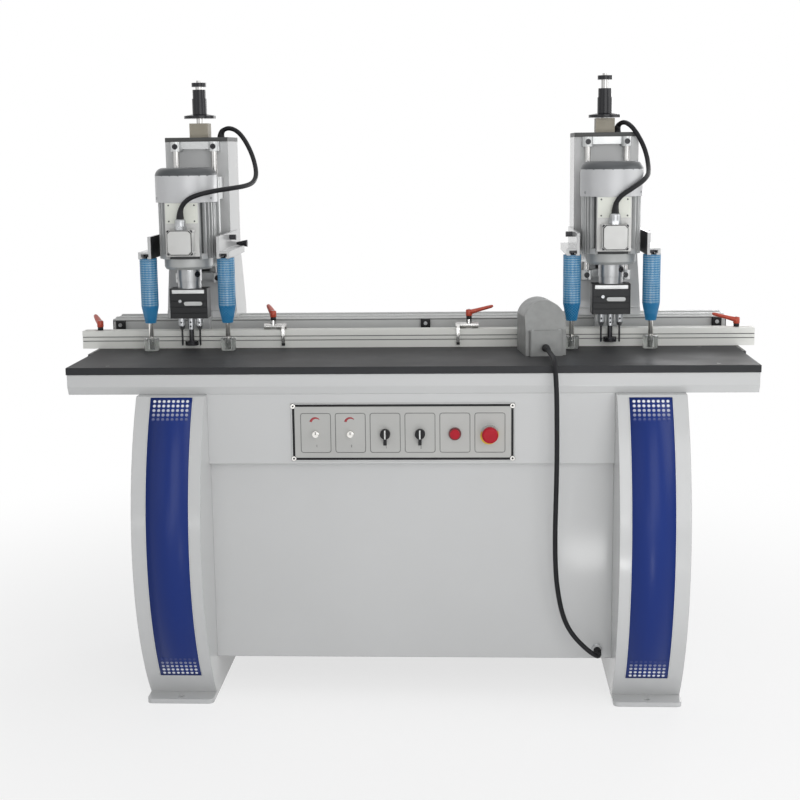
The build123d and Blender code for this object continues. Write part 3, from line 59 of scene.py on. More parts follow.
# Places that the pieces share with the solids. HEADS gives each head's side, its middle along the table
# and its feed's lift: heights on the feed are given for a lift of nothing.
HEADS = (("left", -0.597, 0.008), ("right", 0.517, 0.012))
SPINDLE_Y = 0.028
FEED_Y = 0.256
ROD_X, ROD_Y, ROD_RADIUS = 0.052, 0.166, 0.008
COLUMN_FRONT, COLUMN_TOP, COLUMN_COVER_Z = 0.191, 1.402, 1.19
PLATE_TOP = 1.4135
ARM_INNER, ARM_BOTTOM = 0.086, 1.0995
FITTING_X = 0.0945
CLAMP_X, CLAMP_BOTTOM, CLAMP_NOSE = 0.103, 0.9275, 0.045
MOTOR_PAD_Y, MOTOR_CORE, FLANGE_TOP = -0.049, 0.065, 1.0905
LID_Y, LID_Z, LUG_X, LUG_Z = -0.089, 1.136, 0.0297, 0.0287
TERMINAL_TOP, GLAND_Y, GLAND_Z = 1.1683, -0.069, (1.196, 1.212)
NAMEPLATE_Z = 1.2100
SHOULDER_Z = 1.295
GEARBOX_Y, COUPLING_BOTTOM = -0.002, 1.0103
CUTTER_TOP = 0.8985
END_DISC_Z = (1.5425, 1.5545)
TABLE_TOP = 0.852
BEAM_GROOVE_Z, FENCE_GROOVE_Z = 0.914, 0.8783
PANEL_PLATE_Y = -0.289
CONTROL_Z = 0.683
CONTROL_X = (-0.2336, -0.1476, -0.0616, 0.0244, 0.1104, 0.1964)
PANEL_GLAND = (0.466, -0.264, 0.123)
PEDAL_PLACE = Matrix.Translation((0.333, -0.062, TABLE_TOP)) @ Matrix.Rotation(math.radians(7), 4, "Z")
PEDAL_EXIT_X, PEDAL_EXIT_Z = -0.004, 0.023
LEVER_Y = 0.071
BAND_MIDDLE_Z = 0.4255


# Node trees

COLOUR, NUMBER, VECTOR = "NodeSocketColor", "NodeSocketFloat", "NodeSocketVector"
WHITE = (1, 1, 1, 1)


def set_inputs(node, inputs):
    """Set inputs of a node by name or number: to a value, or to a node's output given as a pair."""
    for key, value in inputs.items():
        if isinstance(value, tuple) and isinstance(value[0], bpy.types.Node):
            source, out = value
            node.id_data.links.new(source.outputs[out], node.inputs[key])
        else:
            node.inputs[key].default_value = value


def add_node(tree, kind, inputs=None, **settings):
    """New node with its settings and its inputs."""
    node = tree.nodes.new(kind)
    for key, value in settings.items():
        setattr(node, key, value)
    set_inputs(node, inputs or {})
    return node


def add_math(tree, operation, *terms, **settings):
    """New maths node over values or outputs, and the name of its result."""
    return add_node(tree, "ShaderNodeMath", dict(enumerate(terms)), operation=operation, **settings), "Value"


def new_group(name, kind, inputs, outputs):
    """Empty node group with named sockets, and its two end nodes."""
    group = bpy.data.node_groups.new(name, kind)
    for label, socket, value in inputs:
        made = group.interface.new_socket(label, in_out="INPUT", socket_type=socket)
        if value is not None:
            made.default_value = value
    for label, socket in outputs:
        group.interface.new_socket(label, in_out="OUTPUT", socket_type=socket)
    return group, add_node(group, "NodeGroupInput"), add_node(group, "NodeGroupOutput")


# Shader groups and finishes

COAT_ROUGHNESS = 0.12
GRAIN_DEPTH = 0.0004
BAND_BLUE = (0.008, 0.028, 0.185)
COIL_PALE = (0.52, 0.68, 0.72)
ALONG_X = (0.02, 1, 1)
ALONG_Z = (1, 1, 0.02)


def height_in(tree):
    """Height of the shaded point."""
    place = add_node(tree, "ShaderNodeTexCoord")
    return add_node(tree, "ShaderNodeSeparateXYZ", {"Vector": (place, "Object")}), "Z"


def uneven_tone_group():
    """Two tones of one finish in soft patches over the surface, and an uneven gloss."""
    group, start, end = new_group(
        "uneven_tone", "ShaderNodeTree",
        [("Tone", COLOUR, WHITE), ("Second Tone", COLOUR, WHITE), ("Patch Scale", NUMBER, 5.0),
         ("Smooth", NUMBER, 0.4), ("Rough", NUMBER, 0.5)],
        [("Color", COLOUR), ("Roughness", NUMBER)],
    )
    place = add_node(group, "ShaderNodeTexCoord")
    noise = add_node(group, "ShaderNodeTexNoise", {
        "Vector": (place, "Object"), "Scale": (start, "Patch Scale"), "Detail": 4.0})
    spread = add_node(group, "ShaderNodeMapRange", {
        "Value": (noise, "Fac"), "From Min": 0.2, "From Max": 0.8}, interpolation_type="SMOOTHSTEP")
    mix = add_node(group, "ShaderNodeMix", {
        "Factor": (spread, "Result"), "A": (start, "Tone"), "B": (start, "Second Tone")}, data_type="RGBA")
    gloss = add_node(group, "ShaderNodeMapRange", {
        "Value": (spread, "Result"), "To Min": (start, "Smooth"), "To Max": (start, "Rough")})
    set_inputs(end, {"Color": (mix, "Result"), "Roughness": (gloss, "Result")})
    return group


def fine_relief_group():
    """Height of a fine grain, stretched along one direction for brushed or drawn metal."""
    group, start, end = new_group(
        "fine_relief", "ShaderNodeTree",
        [("Grain Scale", NUMBER, 400.0), ("Stretch", VECTOR, (1, 1, 1))], [("Height", NUMBER)],
    )
    place = add_node(group, "ShaderNodeTexCoord")
    stretch = add_node(
        group, "ShaderNodeVectorMath", {0: (place, "Object"), 1: (start, "Stretch")}, operation="MULTIPLY")
    noise = add_node(group, "ShaderNodeTexNoise", {
        "Vector": (stretch, "Vector"), "Scale": (start, "Grain Scale"), "Detail": 3.0})
    set_inputs(end, {"Height": (noise, "Fac")})
    return group


def level_bands_group():
    """Mask of soft level bands at a pitch, above a height."""
    group, start, end = new_group(
        "level_bands", "ShaderNodeTree",
        [("Pitch", NUMBER, 0.006), ("Above", NUMBER, 0.0), ("Strength", NUMBER, 1.0)], [("Mask", NUMBER)],
    )
    height = height_in(group)
    wave = add_math(group, "PINGPONG", add_math(group, "DIVIDE", height, (start, "Pitch")), 0.5)
    soft = add_node(group, "ShaderNodeMapRange", {
        "Value": wave, "From Min": 0.08, "From Max": 0.42}, interpolation_type="SMOOTHSTEP")
    over = add_math(group, "GREATER_THAN", height, (start, "Above"))
    gate = add_math(group, "MULTIPLY", (soft, "Result"), over)
    set_inputs(end, {"Mask": add_math(group, "MULTIPLY", gate, (start, "Strength"))})
    return group


UNEVEN_TONE = uneven_tone_group()
FINE_RELIEF = fine_relief_group()


def finish(
    name, tone, second, patch, rough, grain, relief, stretch=(1, 1, 1), metal=0.0, coat=0.0, ease=0.0, shine=0.5,
):
    """Finish in two close tones, with uneven gloss, a fine grain and eased edges."""
    material = bpy.data.materials.new(name)
    material.use_nodes = True
    tree = material.node_tree
    colour = add_node(tree, "ShaderNodeGroup", {
        "Tone": (*tone, 1), "Second Tone": (*second, 1), "Patch Scale": patch, "Smooth": rough[0], "Rough": rough[1],
    }, node_tree=UNEVEN_TONE)
    height = add_node(tree, "ShaderNodeGroup", {"Grain Scale": grain, "Stretch": stretch}, node_tree=FINE_RELIEF)
    bump = add_node(tree, "ShaderNodeBump", {
        "Strength": relief, "Distance": GRAIN_DEPTH, "Height": (height, "Height")})
    if ease:
        set_inputs(bump, {"Normal": (add_node(tree, "ShaderNodeBevel", {"Radius": ease}, samples=4), "Normal")})
    set_inputs(tree.nodes["Principled BSDF"], {
        "Metallic": metal, "Specular IOR Level": shine, "Coat Weight": coat, "Coat Roughness": COAT_ROUGHNESS,
        "Base Color": (colour, "Color"), "Roughness": (colour, "Roughness"), "Normal": (bump, "Normal"),
    })
    return material


def ink(name, tone, second, **more):
    """Finish of a print."""
    return finish(name, tone, second, 40, (0.40, 0.50), 600, 0.02, **more)


def clear_plastic():
    """Cast clear plastic with faint cloudiness."""
    material = finish("clear_plastic", (0.66, 0.68, 0.67), (0.58, 0.60, 0.59), 60, (0.05, 0.12), 300, 0.04)
    set_inputs(material.node_tree.nodes["Principled BSDF"], {"Transmission Weight": 0.92, "IOR": 1.4})
    return material


def print_over(material, mask, tone, place):
    """Mix a tone into a finish: at place B it shows where the mask is full, at A where the mask is empty."""
    tree = material.node_tree
    own = next(n for n in tree.nodes if n.type == "GROUP" and n.node_tree == UNEVEN_TONE)
    other = "A" if place == "B" else "B"
    mix = add_node(tree, "ShaderNodeMix", {
        "Factor": mask, place: (*tone, 1), other: (own, "Color")}, data_type="RGBA")
    set_inputs(tree.nodes["Principled BSDF"], {"Base Color": (mix, "Result")})
    return material


def banded_sleeve():
    """Blue sleeve with the pale coils of the spring that show through it."""
    material = finish("sleeve_blue", (0.010, 0.180, 0.41), (0.018, 0.215, 0.47), 30, (0.24, 0.34), 900, 0.05, coat=0.4)
    values = {"Pitch": 0.0062, "Above": CLAMP_BOTTOM + CLAMP_NOSE + 0.001, "Strength": 0.65}
    bands = add_node(material.node_tree, "ShaderNodeGroup", values, node_tree=level_bands_group())
    return print_over(material, (bands, "Mask"), COIL_PALE, "B")


def fading_dots():
    """White print that fades to the band's blue away from the band's two ends."""
    material = finish("fading_dots", (0.85, 0.87, 0.92), (0.80, 0.82, 0.88), 40, (0.30, 0.40), 500, 0.02)
    tree = material.node_tree
    away = add_math(tree, "ABSOLUTE", add_math(tree, "SUBTRACT", height_in(tree), BAND_MIDDLE_Z))
    fade = add_node(tree, "ShaderNodeMapRange", {"Value": away, "From Min": 0.302, "From Max": 0.338})
    return print_over(material, (fade, "Result"), BAND_BLUE, "A")


# Enamel, table and fence
enamel = finish(
    "white_enamel", (0.65, 0.655, 0.655), (0.625, 0.63, 0.63), 3, (0.12, 0.18), 260, 0.03, ease=0.003, shine=0.32)
beam_grey = finish(
    "grey_enamel", (0.70, 0.705, 0.695), (0.66, 0.665, 0.655), 5, (0.42, 0.48), 300, 0.05, ease=0.002, shine=0.2)
groove_shadow = finish(
    "groove_shadow", (0.32, 0.32, 0.315), (0.28, 0.28, 0.275), 30, (0.55, 0.65), 400, 0.05, shine=0.2)
laminate = finish(
    "dark_laminate", (0.036, 0.037, 0.039), (0.058, 0.058, 0.059), 7, (0.44, 0.58), 700, 0.08, shine=0.11)
edge_band = finish(
    "black_edge_band", (0.013, 0.014, 0.016), (0.020, 0.021, 0.024), 20, (0.40, 0.50), 500, 0.05, shine=0.3)
anodised = finish(
    "anodised_aluminium", (0.89, 0.89, 0.85), (0.84, 0.84, 0.80), 6, (0.44, 0.54), 500, 0.06, ALONG_X,
    metal=0.05, shine=0.2)

# Metals
ground_steel = finish(
    "ground_steel", (0.44, 0.45, 0.46), (0.34, 0.35, 0.36), 45, (0.24, 0.36), 500, 0.05, ALONG_X, metal=0.9)
machined = finish(
    "machined_aluminium", (0.60, 0.61, 0.61), (0.50, 0.51, 0.51), 18, (0.32, 0.42), 500, 0.08, ALONG_Z,
    metal=0.7, ease=0.001)
knob_chrome = finish("knob_chrome", (0.84, 0.83, 0.80), (0.74, 0.73, 0.70), 60, (0.10, 0.18), 500, 0.03, metal=1.0)
turned_steel = finish(
    "turned_steel", (0.36, 0.365, 0.37), (0.28, 0.285, 0.29), 18, (0.26, 0.36), 600, 0.06, ALONG_X,
    metal=0.85, ease=0.001)
chrome = finish(
    "hard_chrome", (0.50, 0.495, 0.485), (0.38, 0.375, 0.37), 30, (0.10, 0.18), 500, 0.03, ALONG_Z, metal=1.0)
cast_alloy = finish(
    "silver_painted_casting", (0.60, 0.61, 0.61), (0.53, 0.54, 0.54), 25, (0.44, 0.54), 700, 0.14,
    metal=0.3, ease=0.001)
flange_grey = finish(
    "cast_flange", (0.46, 0.47, 0.465), (0.40, 0.41, 0.405), 20, (0.42, 0.52), 700, 0.10, metal=0.3, ease=0.001)
# Painted shade on the floors between the motor's ribs, where the ribs shade them.
rib_painted_shade = finish("rib_painted_shade", (0.085, 0.087, 0.088), (0.065, 0.067, 0.068), 25, (0.50, 0.60), 700, 0.10, shine=0.2)
sheet_silver = finish(
    "silver_sheet", (0.60, 0.605, 0.615), (0.55, 0.555, 0.565), 10, (0.34, 0.44), 500, 0.04, metal=0.2, shine=0.4)
# Painted dark reflection: the fan cover's shoulder and top are darkened to stand in for the dark ceiling that the
# cover mirrors.
shoulder_painted_reflection = finish(
    "shoulder_painted_reflection", (0.075, 0.08, 0.084), (0.095, 0.10, 0.105), 10, (0.30, 0.40), 500, 0.04, metal=0.4, shine=0.3)
box_grey = finish(
    "light_grey_casting", (0.68, 0.68, 0.665), (0.64, 0.64, 0.625), 30, (0.40, 0.50), 600, 0.10,
    metal=0.1, ease=0.0015)
charcoal = finish(
    "charcoal_anodised", (0.013, 0.014, 0.015), (0.020, 0.021, 0.023), 25, (0.36, 0.46), 600, 0.06,
    ease=0.001, shine=0.3)
black_steel = finish(
    "blackened_steel", (0.014, 0.014, 0.017), (0.026, 0.026, 0.031), 30, (0.22, 0.34), 500, 0.06, metal=0.4)
gloss_black = finish(
    "glossy_black", (0.008, 0.008, 0.011), (0.013, 0.013, 0.017), 20, (0.16, 0.26), 500, 0.01, shine=0.35)
top_plate_grey = finish(
    "dark_grey_plate", (0.065, 0.066, 0.066), (0.085, 0.085, 0.083), 12, (0.40, 0.52), 500, 0.08,
    metal=0.2, shine=0.3)
beige_block = finish(
    "beige_stop_block", (0.42, 0.385, 0.31), (0.38, 0.345, 0.275), 30, (0.45, 0.58), 400, 0.08, ease=0.0015)
hammer_grey = finish(
    "hammer_grey", (0.30, 0.305, 0.30), (0.26, 0.265, 0.26), 45, (0.36, 0.48), 140, 0.22, metal=0.15, ease=0.002)

# Plastics, rubber and prints
black_plastic = finish(
    "black_moulding", (0.009, 0.009, 0.010), (0.015, 0.015, 0.017), 40, (0.38, 0.50), 800, 0.08, shine=0.25)
rubber = finish(
    "black_cable_rubber", (0.008, 0.008, 0.010), (0.014, 0.014, 0.016), 50, (0.42, 0.56), 900, 0.10, shine=0.2)
lever_red = finish("lever_red", (0.54, 0.066, 0.028), (0.46, 0.052, 0.023), 60, (0.32, 0.44), 700, 0.06)
button_red = finish("button_red", (0.46, 0.007, 0.022), (0.40, 0.005, 0.018), 60, (0.28, 0.38), 700, 0.03, shine=0.22)
bezel_red = finish("bezel_dark_red", (0.14, 0.008, 0.012), (0.11, 0.006, 0.010), 60, (0.30, 0.40), 700, 0.03)
collar_yellow = finish("collar_yellow", (0.72, 0.47, 0.03), (0.66, 0.42, 0.03), 60, (0.35, 0.45), 700, 0.04)
panel_film = finish("panel_film", (0.475, 0.475, 0.46), (0.45, 0.45, 0.437), 8, (0.40, 0.50), 900, 0.02, metal=0.1)
print_black = ink("print_black", (0.007, 0.007, 0.008), (0.012, 0.012, 0.013), shine=0.2)
print_grey = ink("print_grey", (0.13, 0.135, 0.13), (0.16, 0.165, 0.16))
print_red = ink("print_red", (0.42, 0.045, 0.055), (0.36, 0.04, 0.05))
print_white = ink("print_white", (0.76, 0.77, 0.76), (0.70, 0.71, 0.70))
cream_plate = finish("cream_nameplate", (0.85, 0.865, 0.79), (0.81, 0.825, 0.75), 25, (0.34, 0.44), 600, 0.03)
band_blue = finish("band_blue", BAND_BLUE, (0.009, 0.031, 0.192), 3, (0.26, 0.34), 500, 0.02, shine=0.22)
net_blue = finish("net_blue", (0.050, 0.29, 0.54), (0.065, 0.34, 0.60), 60, (0.30, 0.40), 900, 0.04)
dots_white = fading_dots()
clear_foot = clear_plastic()
sleeve_blue = banded_sleeve()


# Finishes of the solids that stay as they are

def dress(node, main, *zones):
    """Give a node its finish, and to the faces that a zone's test picks, by centre and normal, that zone's."""
    mesh = nodes[node].data
    mesh.materials.clear()
    mesh.materials.append(main)
    for material, _ in zones:
        mesh.materials.append(material)
    for polygon in mesh.polygons:
        polygon.material_index = 0
        for index, (_, test) in enumerate(zones, 1):
            if test(polygon.center, polygon.normal):
                polygon.material_index = index
                break


def off_axis(point, x, y):
    """Distance of a point from an upright axis."""
    return math.hypot(point.x - x, point.y - y)


def off_control(point, x):
    """Distance of a point from a control's axis."""
    return math.hypot(point.x - x, point.z - CONTROL_Z)


def dress_stand():
    """Cabinet, table, beam, fence, controls and foot switch."""
    for material, plain in (
        (enamel, ("left_leg", "right_leg", "front_panel", "rear_panel", "table_apron")),
        (beam_grey, ("beam_rails",)), (black_steel, ("fence_guide_bars",)), (hammer_grey, ("pedal_housing",)),
        (black_plastic, ("limit_blocks", "selector_1", "selector_2", "pedal_treadle")),
        (button_red, ("estop_button",)), (knob_chrome, ("speed_knob_1", "speed_knob_2")),
        (chrome, ("stop_1_carrier", "stop_1_finger", "stop_2_carrier", "stop_2_finger")),
    ):
        for node in plain:
            dress(node, material)

    def in_beam_groove(c, n):
        return 0.1661 < c.y < 0.1700 and abs(c.z - BEAM_GROOVE_Z) < 0.0016

    def in_fence_groove(c, n):
        return 0.0511 < c.y < 0.0545 and abs(c.z - FENCE_GROOVE_Z) < 0.0070

    dress("rear_beam", beam_grey, (groove_shadow, in_beam_groove))
    dress("fence", anodised, (groove_shadow, in_fence_groove))
    dress("table_top", laminate, (edge_band, lambda c, n: abs(n.z) < 0.3))
    lamp, stop = CONTROL_X[4:]
    film = PANEL_PLATE_Y - 0.0001

    def on_collar(c, n):
        return c.y < film and off_control(c, stop) < 0.022 and c.z < CONTROL_Z + 0.006

    dress(
        "control_plate", panel_film,
        (black_plastic, lambda c, n: c.y > PANEL_PLATE_Y + 0.0025),
        (button_red, lambda c, n: c.y < PANEL_PLATE_Y - 0.0071 and off_control(c, lamp) < 0.016),
        (bezel_red, lambda c, n: c.y < film and off_control(c, lamp) < 0.016),
        (collar_yellow, on_collar),
    )


def dress_head(side, x, lift):
    """Solids of one head."""
    def on_rod(c, n):
        rod = x + math.copysign(ROD_X, c.x - x)
        return abs(c.x - rod) < 0.009 and abs(off_axis(c, rod, ROD_Y) - ROD_RADIUS) < 0.0008

    # Inner faces of the clamp arms, towards the motor, which take the dark charcoal finish.
    def inner_side(c, n):
        return n.x * (c.x - x) < -0.0001 and abs(abs(c.x - x) - ARM_INNER) < 0.0015 and c.y < COLUMN_FRONT

    def fitting(c, n):
        on_arm = c.z > ARM_BOTTOM + 0.0185 and c.y > 0.115
        return abs(c.x - x) > FITTING_X and (on_arm or c.y > 0.2115)

    # Floors between the motor's ribs, which take the painted shade.
    def between_ribs(c, n):
        return abs(off_axis(c, x, SPINDLE_Y) - MOTOR_CORE) < 0.0006 and c.z > FLANGE_TOP + lift

    def end_disc(c, n):
        return END_DISC_Z[0] < c.z - lift < END_DISC_Z[1] and off_axis(c, x, FEED_Y) > 0.0072

    cutter = (black_steel, lambda c, n: c.z < CUTTER_TOP + lift)
    for node, material, *zones in (
        ("column", enamel, (top_plate_grey, lambda c, n: c.z > COLUMN_TOP + 0.0003)),
        ("guide_rods", machined, (chrome, on_rod)),
        ("feed_cylinder", anodised, (beige_block, lambda c, n: c.z > PLATE_TOP - 0.0005)),
        ("feed_rod", chrome, (gloss_black, end_disc)),
        ("depth_stop", gloss_black),
        ("carriage", machined),
        ("clamp_arms", enamel, (charcoal, inner_side), (black_steel, fitting)),
        ("clamp_cylinders", sleeve_blue, (black_steel, lambda c, n: c.z > ARM_BOTTOM - 0.0003)),
        ("motor_housing", cast_alloy,
         (ground_steel, lambda c, n: c.z > TERMINAL_TOP + lift and c.y < MOTOR_PAD_Y - 0.0005),
         (box_grey, lambda c, n: c.y < MOTOR_PAD_Y + 0.0005),
         (flange_grey, lambda c, n: c.z < FLANGE_TOP + lift),
         (rib_painted_shade, between_ribs)),
        # The fan cover's upward-facing faces above the shoulder carry the painted dark reflection.
        ("fan_cover", sheet_silver, (shoulder_painted_reflection, lambda c, n: n.z > 0.05 and c.z > SHOULDER_Z + lift)),
        ("gearbox", charcoal, (turned_steel, lambda c, n: c.z > COUPLING_BOTTOM + lift)),
        ("centre_spindle", ground_steel, cutter),
        ("side_spindle_left", ground_steel, cutter),
        ("side_spindle_right", ground_steel, cutter),
    ):
        dress(f"{side}_{node}", material, *zones)


# Meshes

def show(name, data):
    """Put new data in the scene as an object."""
    made = bpy.data.objects.new(name, data)
    scene.collection.objects.link(made)
    return made


def solved(piece):
    """Plain mesh of an object as it stands, with its modifiers and curves worked out."""
    return bpy.data.meshes.new_from_object(piece.evaluated_get(bpy.context.evaluated_depsgraph_get()))


def smooth(mesh, sharp=35):
    """Shade a mesh smooth up to an angle between its faces."""
    mesh.shade_smooth()
    mesh.set_sharp_from_angle(angle=math.radians(sharp))


def keep(name, bm, materials, body, sharp=35):
    """Close a mesh, give it its finishes and let it ride on a body."""
    bmesh.ops.remove_doubles(bm, verts=bm.verts, dist=1e-6)
    bmesh.ops.recalc_face_normals(bm, faces=bm.faces)
    mesh = bpy.data.meshes.new(name)
    bm.to_mesh(mesh)
    bm.free()
    for material in materials if isinstance(materials, list) else [materials]:
        mesh.materials.append(material)
    smooth(mesh, sharp)
    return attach(show(name, mesh), body)


def thicken(piece, thickness, offset=-1.0):
    """Give an open skin a thickness."""
    wall = piece.modifiers.new("thickness", "SOLIDIFY")
    wall.thickness = thickness
    wall.offset = offset


def facing(spot, direction):
    """Placement whose Z axis points along a direction at a spot."""
    turn = Vector(direction).to_track_quat("Z", "Y").to_matrix().to_4x4()
    return Matrix.Translation(spot) @ turn


def round_steps(count):
    """Angles of equal steps round a circle."""
    return [2 * math.pi * k / count for k in range(count)]


def four(dx, dz):
    """The four pairs of signed offsets."""
    return [(sx * dx, sz * dz) for sx in SIDES for sz in SIDES]


def add_loft(bm, rings, material=0):
    """Skin through rings of equal count, closed with a face at both ends."""
    loops = [[bm.verts.new(point) for point in ring] for ring in rings]
    count = len(loops[0])
    faces = []
    for low, high in zip(loops, loops[1:]):
        for k in range(count):
            faces.append(bm.faces.new((low[k], low[(k + 1) % count], high[(k + 1) % count], high[k])))
    faces.append(bm.faces.new(loops[0][::-1]))
    faces.append(bm.faces.new(loops[-1]))
    for face in faces:
        face.material_index = material


def add_ribbon(bm, rows, material=0):
    """Open skin through pairs of spots."""
    pairs = [[bm.verts.new(spot) for spot in row] for row in rows]
    for low, high in zip(pairs, pairs[1:]):
        bm.faces.new((low[0], low[1], high[1], high[0])).material_index = material


def add_turned(bm, profile, place, segments=32, material=0):
    """Turned form: radius and height pairs spun about the placement's Z axis."""
    rings = []
    for radius, height in profile:
        rings.append([place @ Vector((radius * math.cos(a), radius * math.sin(a), height))
                      for a in round_steps(segments)])
    add_loft(bm, rings, material)


def add_block(bm, low, high, ease=0.0, material=0):
    """Box between two corners with eased edges."""
    part = bmesh.new()
    bmesh.ops.create_cube(part, size=1.0)
    size = Vector(high) - Vector(low)
    middle = (Vector(high) + Vector(low)) / 2
    bmesh.ops.transform(part, matrix=Matrix.Translation(middle) @ Matrix.Diagonal((*size, 1)), verts=part.verts)
    if ease:
        bmesh.ops.bevel(part, geom=part.edges, offset=ease, segments=2, profile=0.7, affect="EDGES")
    add_copy(bm, part, Matrix.Identity(4), material)


def add_plate(bm, corners, depth, ease, place, material=0):
    """Flat plate of a given outline, raised along the placement's Z axis, with an eased rim."""
    part = bmesh.new()
    add_loft(part, [[(x, y, z) for x, y in corners] for z in (0, depth)])
    part.normal_update()
    if ease:
        rim = [e for e in part.edges if all(v.co.z > depth / 2 for v in e.verts)]
        bmesh.ops.bevel(part, geom=rim, offset=ease, segments=2, profile=0.7, affect="EDGES")
    add_copy(bm, part, place, material)


def add_copy(bm, part, place, material):
    """Move a finished part into a mesh at a placement."""
    for face in part.faces:
        face.material_index = material
    bmesh.ops.transform(part, matrix=place, verts=part.verts)
    shape = bpy.data.meshes.new("part")
    part.to_mesh(shape)
    part.free()
    bm.from_mesh(shape)
    bpy.data.meshes.remove(shape)


def block_piece(name, low, high, ease, material, body):
    """Piece of one eased box."""
    bm = bmesh.new()
    add_block(bm, low, high, ease)
    keep(name, bm, material, body)


def plate_piece(name, corners, depth, ease, place, material, body):
    """Piece of one plate."""
    bm = bmesh.new()
    add_plate(bm, corners, depth, ease, place)
    keep(name, bm, material, body)


def rounded(width, height, radius):
    """Outline of a rectangle with rounded corners about the origin."""
    steps = 5
    points = []
    for turn, sx, sy in ((0, 1, 1), (90, -1, 1), (180, -1, -1), (270, 1, -1)):
        for k in range(steps + 1):
            angle = math.radians(turn + 90 * k / steps)
            x = sx * (width / 2 - radius) + radius * math.cos(angle)
            points.append((x, sy * (height / 2 - radius) + radius * math.sin(angle)))
    return points


def cut_corners(half, cut):
    """Outline of a square with its corners cut off."""
    inner = half - cut
    return [(inner, -half), (half, -inner), (half, inner), (inner, half),
            (-inner, half), (-half, inner), (-half, -inner), (-inner, -half)]


# Geometry node trees

def seed_tree(name, inputs):
    """Empty geometry tree with named inputs, and its two end nodes."""
    geometry = ("Geometry", "NodeSocketGeometry")
    inputs = [(*geometry, None), *inputs, ("Finish", "NodeSocketMaterial", None)]
    return new_group(name, "GeometryNodeTree", inputs, [geometry])


def set_on_seeds(tree, start, end, form, turned=False):
    """Set a form on each seed point, turned the way that the point faces if asked, in the tree's finish."""
    place = add_node(tree, "GeometryNodeInstanceOnPoints", {"Points": (start, "Geometry"), "Instance": form})
    if turned:
        direction = add_node(tree, "GeometryNodeInputNamedAttribute", {"Name": "facing"}, data_type="FLOAT_VECTOR")
        turn = add_node(tree, "FunctionNodeAlignRotationToVector", {"Vector": (direction, "Attribute")}, axis="Z")
        set_inputs(place, {"Rotation": (turn, "Rotation")})
    real = add_node(tree, "GeometryNodeRealizeInstances", {"Geometry": (place, "Instances")})
    paint = add_node(tree, "GeometryNodeSetMaterial", {"Geometry": (real, "Geometry"), "Material": (start, "Finish")})
    set_inputs(end, {"Geometry": (paint, "Geometry")})
    return tree


def moved_up(tree, form, height):
    """A form moved up by a height."""
    lift = add_node(tree, "ShaderNodeCombineXYZ", {"Z": height})
    return add_node(tree, "GeometryNodeTransform", {"Geometry": form, "Translation": (lift, "Vector")}), "Geometry"


def swept(tree, curve, sides, radius):
    """Rod of a few sides along a curve."""
    section = add_node(tree, "GeometryNodeCurvePrimitiveCircle", {"Resolution": sides, "Radius": radius})
    return add_node(tree, "GeometryNodeCurveToMesh", {"Curve": curve, "Profile Curve": (section, "Curve")}), "Mesh"


def screw_tree():
    """Screw heads with a sunk drive, one on each seed point."""
    tree, start, end = seed_tree("screw_heads", [
        ("Head Radius", NUMBER, 0.004), ("Head Height", NUMBER, 0.003),
        ("Drive Share", NUMBER, 0.5), ("Drive Depth", NUMBER, 0.002),
    ])
    height = (start, "Head Height")
    head = add_node(tree, "GeometryNodeMeshCylinder", {
        "Vertices": 18, "Radius": (start, "Head Radius"), "Depth": height})
    rim = add_node(tree, "GeometryNodeExtrudeMesh", {
        "Mesh": moved_up(tree, (head, "Mesh"), add_math(tree, "MULTIPLY", height, 0.5)),
        "Selection": (head, "Top"), "Offset Scale": 0.0})
    shrink = add_node(tree, "GeometryNodeScaleElements", {
        "Geometry": (rim, "Mesh"), "Selection": (rim, "Top"), "Scale": (start, "Drive Share")})
    sink = add_node(tree, "GeometryNodeExtrudeMesh", {
        "Mesh": (shrink, "Geometry"), "Selection": (rim, "Top"),
        "Offset Scale": add_math(tree, "MULTIPLY", (start, "Drive Depth"), -1.0)})
    return set_on_seeds(tree, start, end, (sink, "Mesh"), turned=True)


def disc_tree():
    """Thin round prints, one on each seed point."""
    tree, start, end = seed_tree("printed_dots", [("Dot Radius", NUMBER, 0.004), ("Dot Thickness", NUMBER, 0.0002)])
    dot = add_node(tree, "GeometryNodeMeshCylinder", {
        "Vertices": 16, "Radius": (start, "Dot Radius"), "Depth": (start, "Dot Thickness")})
    return set_on_seeds(tree, start, end, (dot, "Mesh"), turned=True)


def cell_tree():
    """Thin rounded frames, one round each seed point, drawn in X and Z."""
    tree, start, end = seed_tree("cell_frames", [
        ("Cell Width", NUMBER, 0.0740), ("Cell Height", NUMBER, 0.0985),
        ("Corner", NUMBER, 0.006), ("Line Width", NUMBER, 0.0008),
    ])
    line = add_node(tree, "GeometryNodeCurvePrimitiveQuadrilateral", {
        "Width": (start, "Cell Width"), "Height": (start, "Cell Height")})
    corner = add_node(tree, "GeometryNodeFilletCurve", {
        "Curve": (line, "Curve"), "Radius": (start, "Corner"), "Count": 6}, mode="POLY")
    upright = add_node(tree, "GeometryNodeTransform", {
        "Geometry": swept(tree, (corner, "Curve"), 6, (start, "Line Width")), "Rotation": (math.pi / 2, 0, 0)})
    return set_on_seeds(tree, start, end, (upright, "Geometry"))


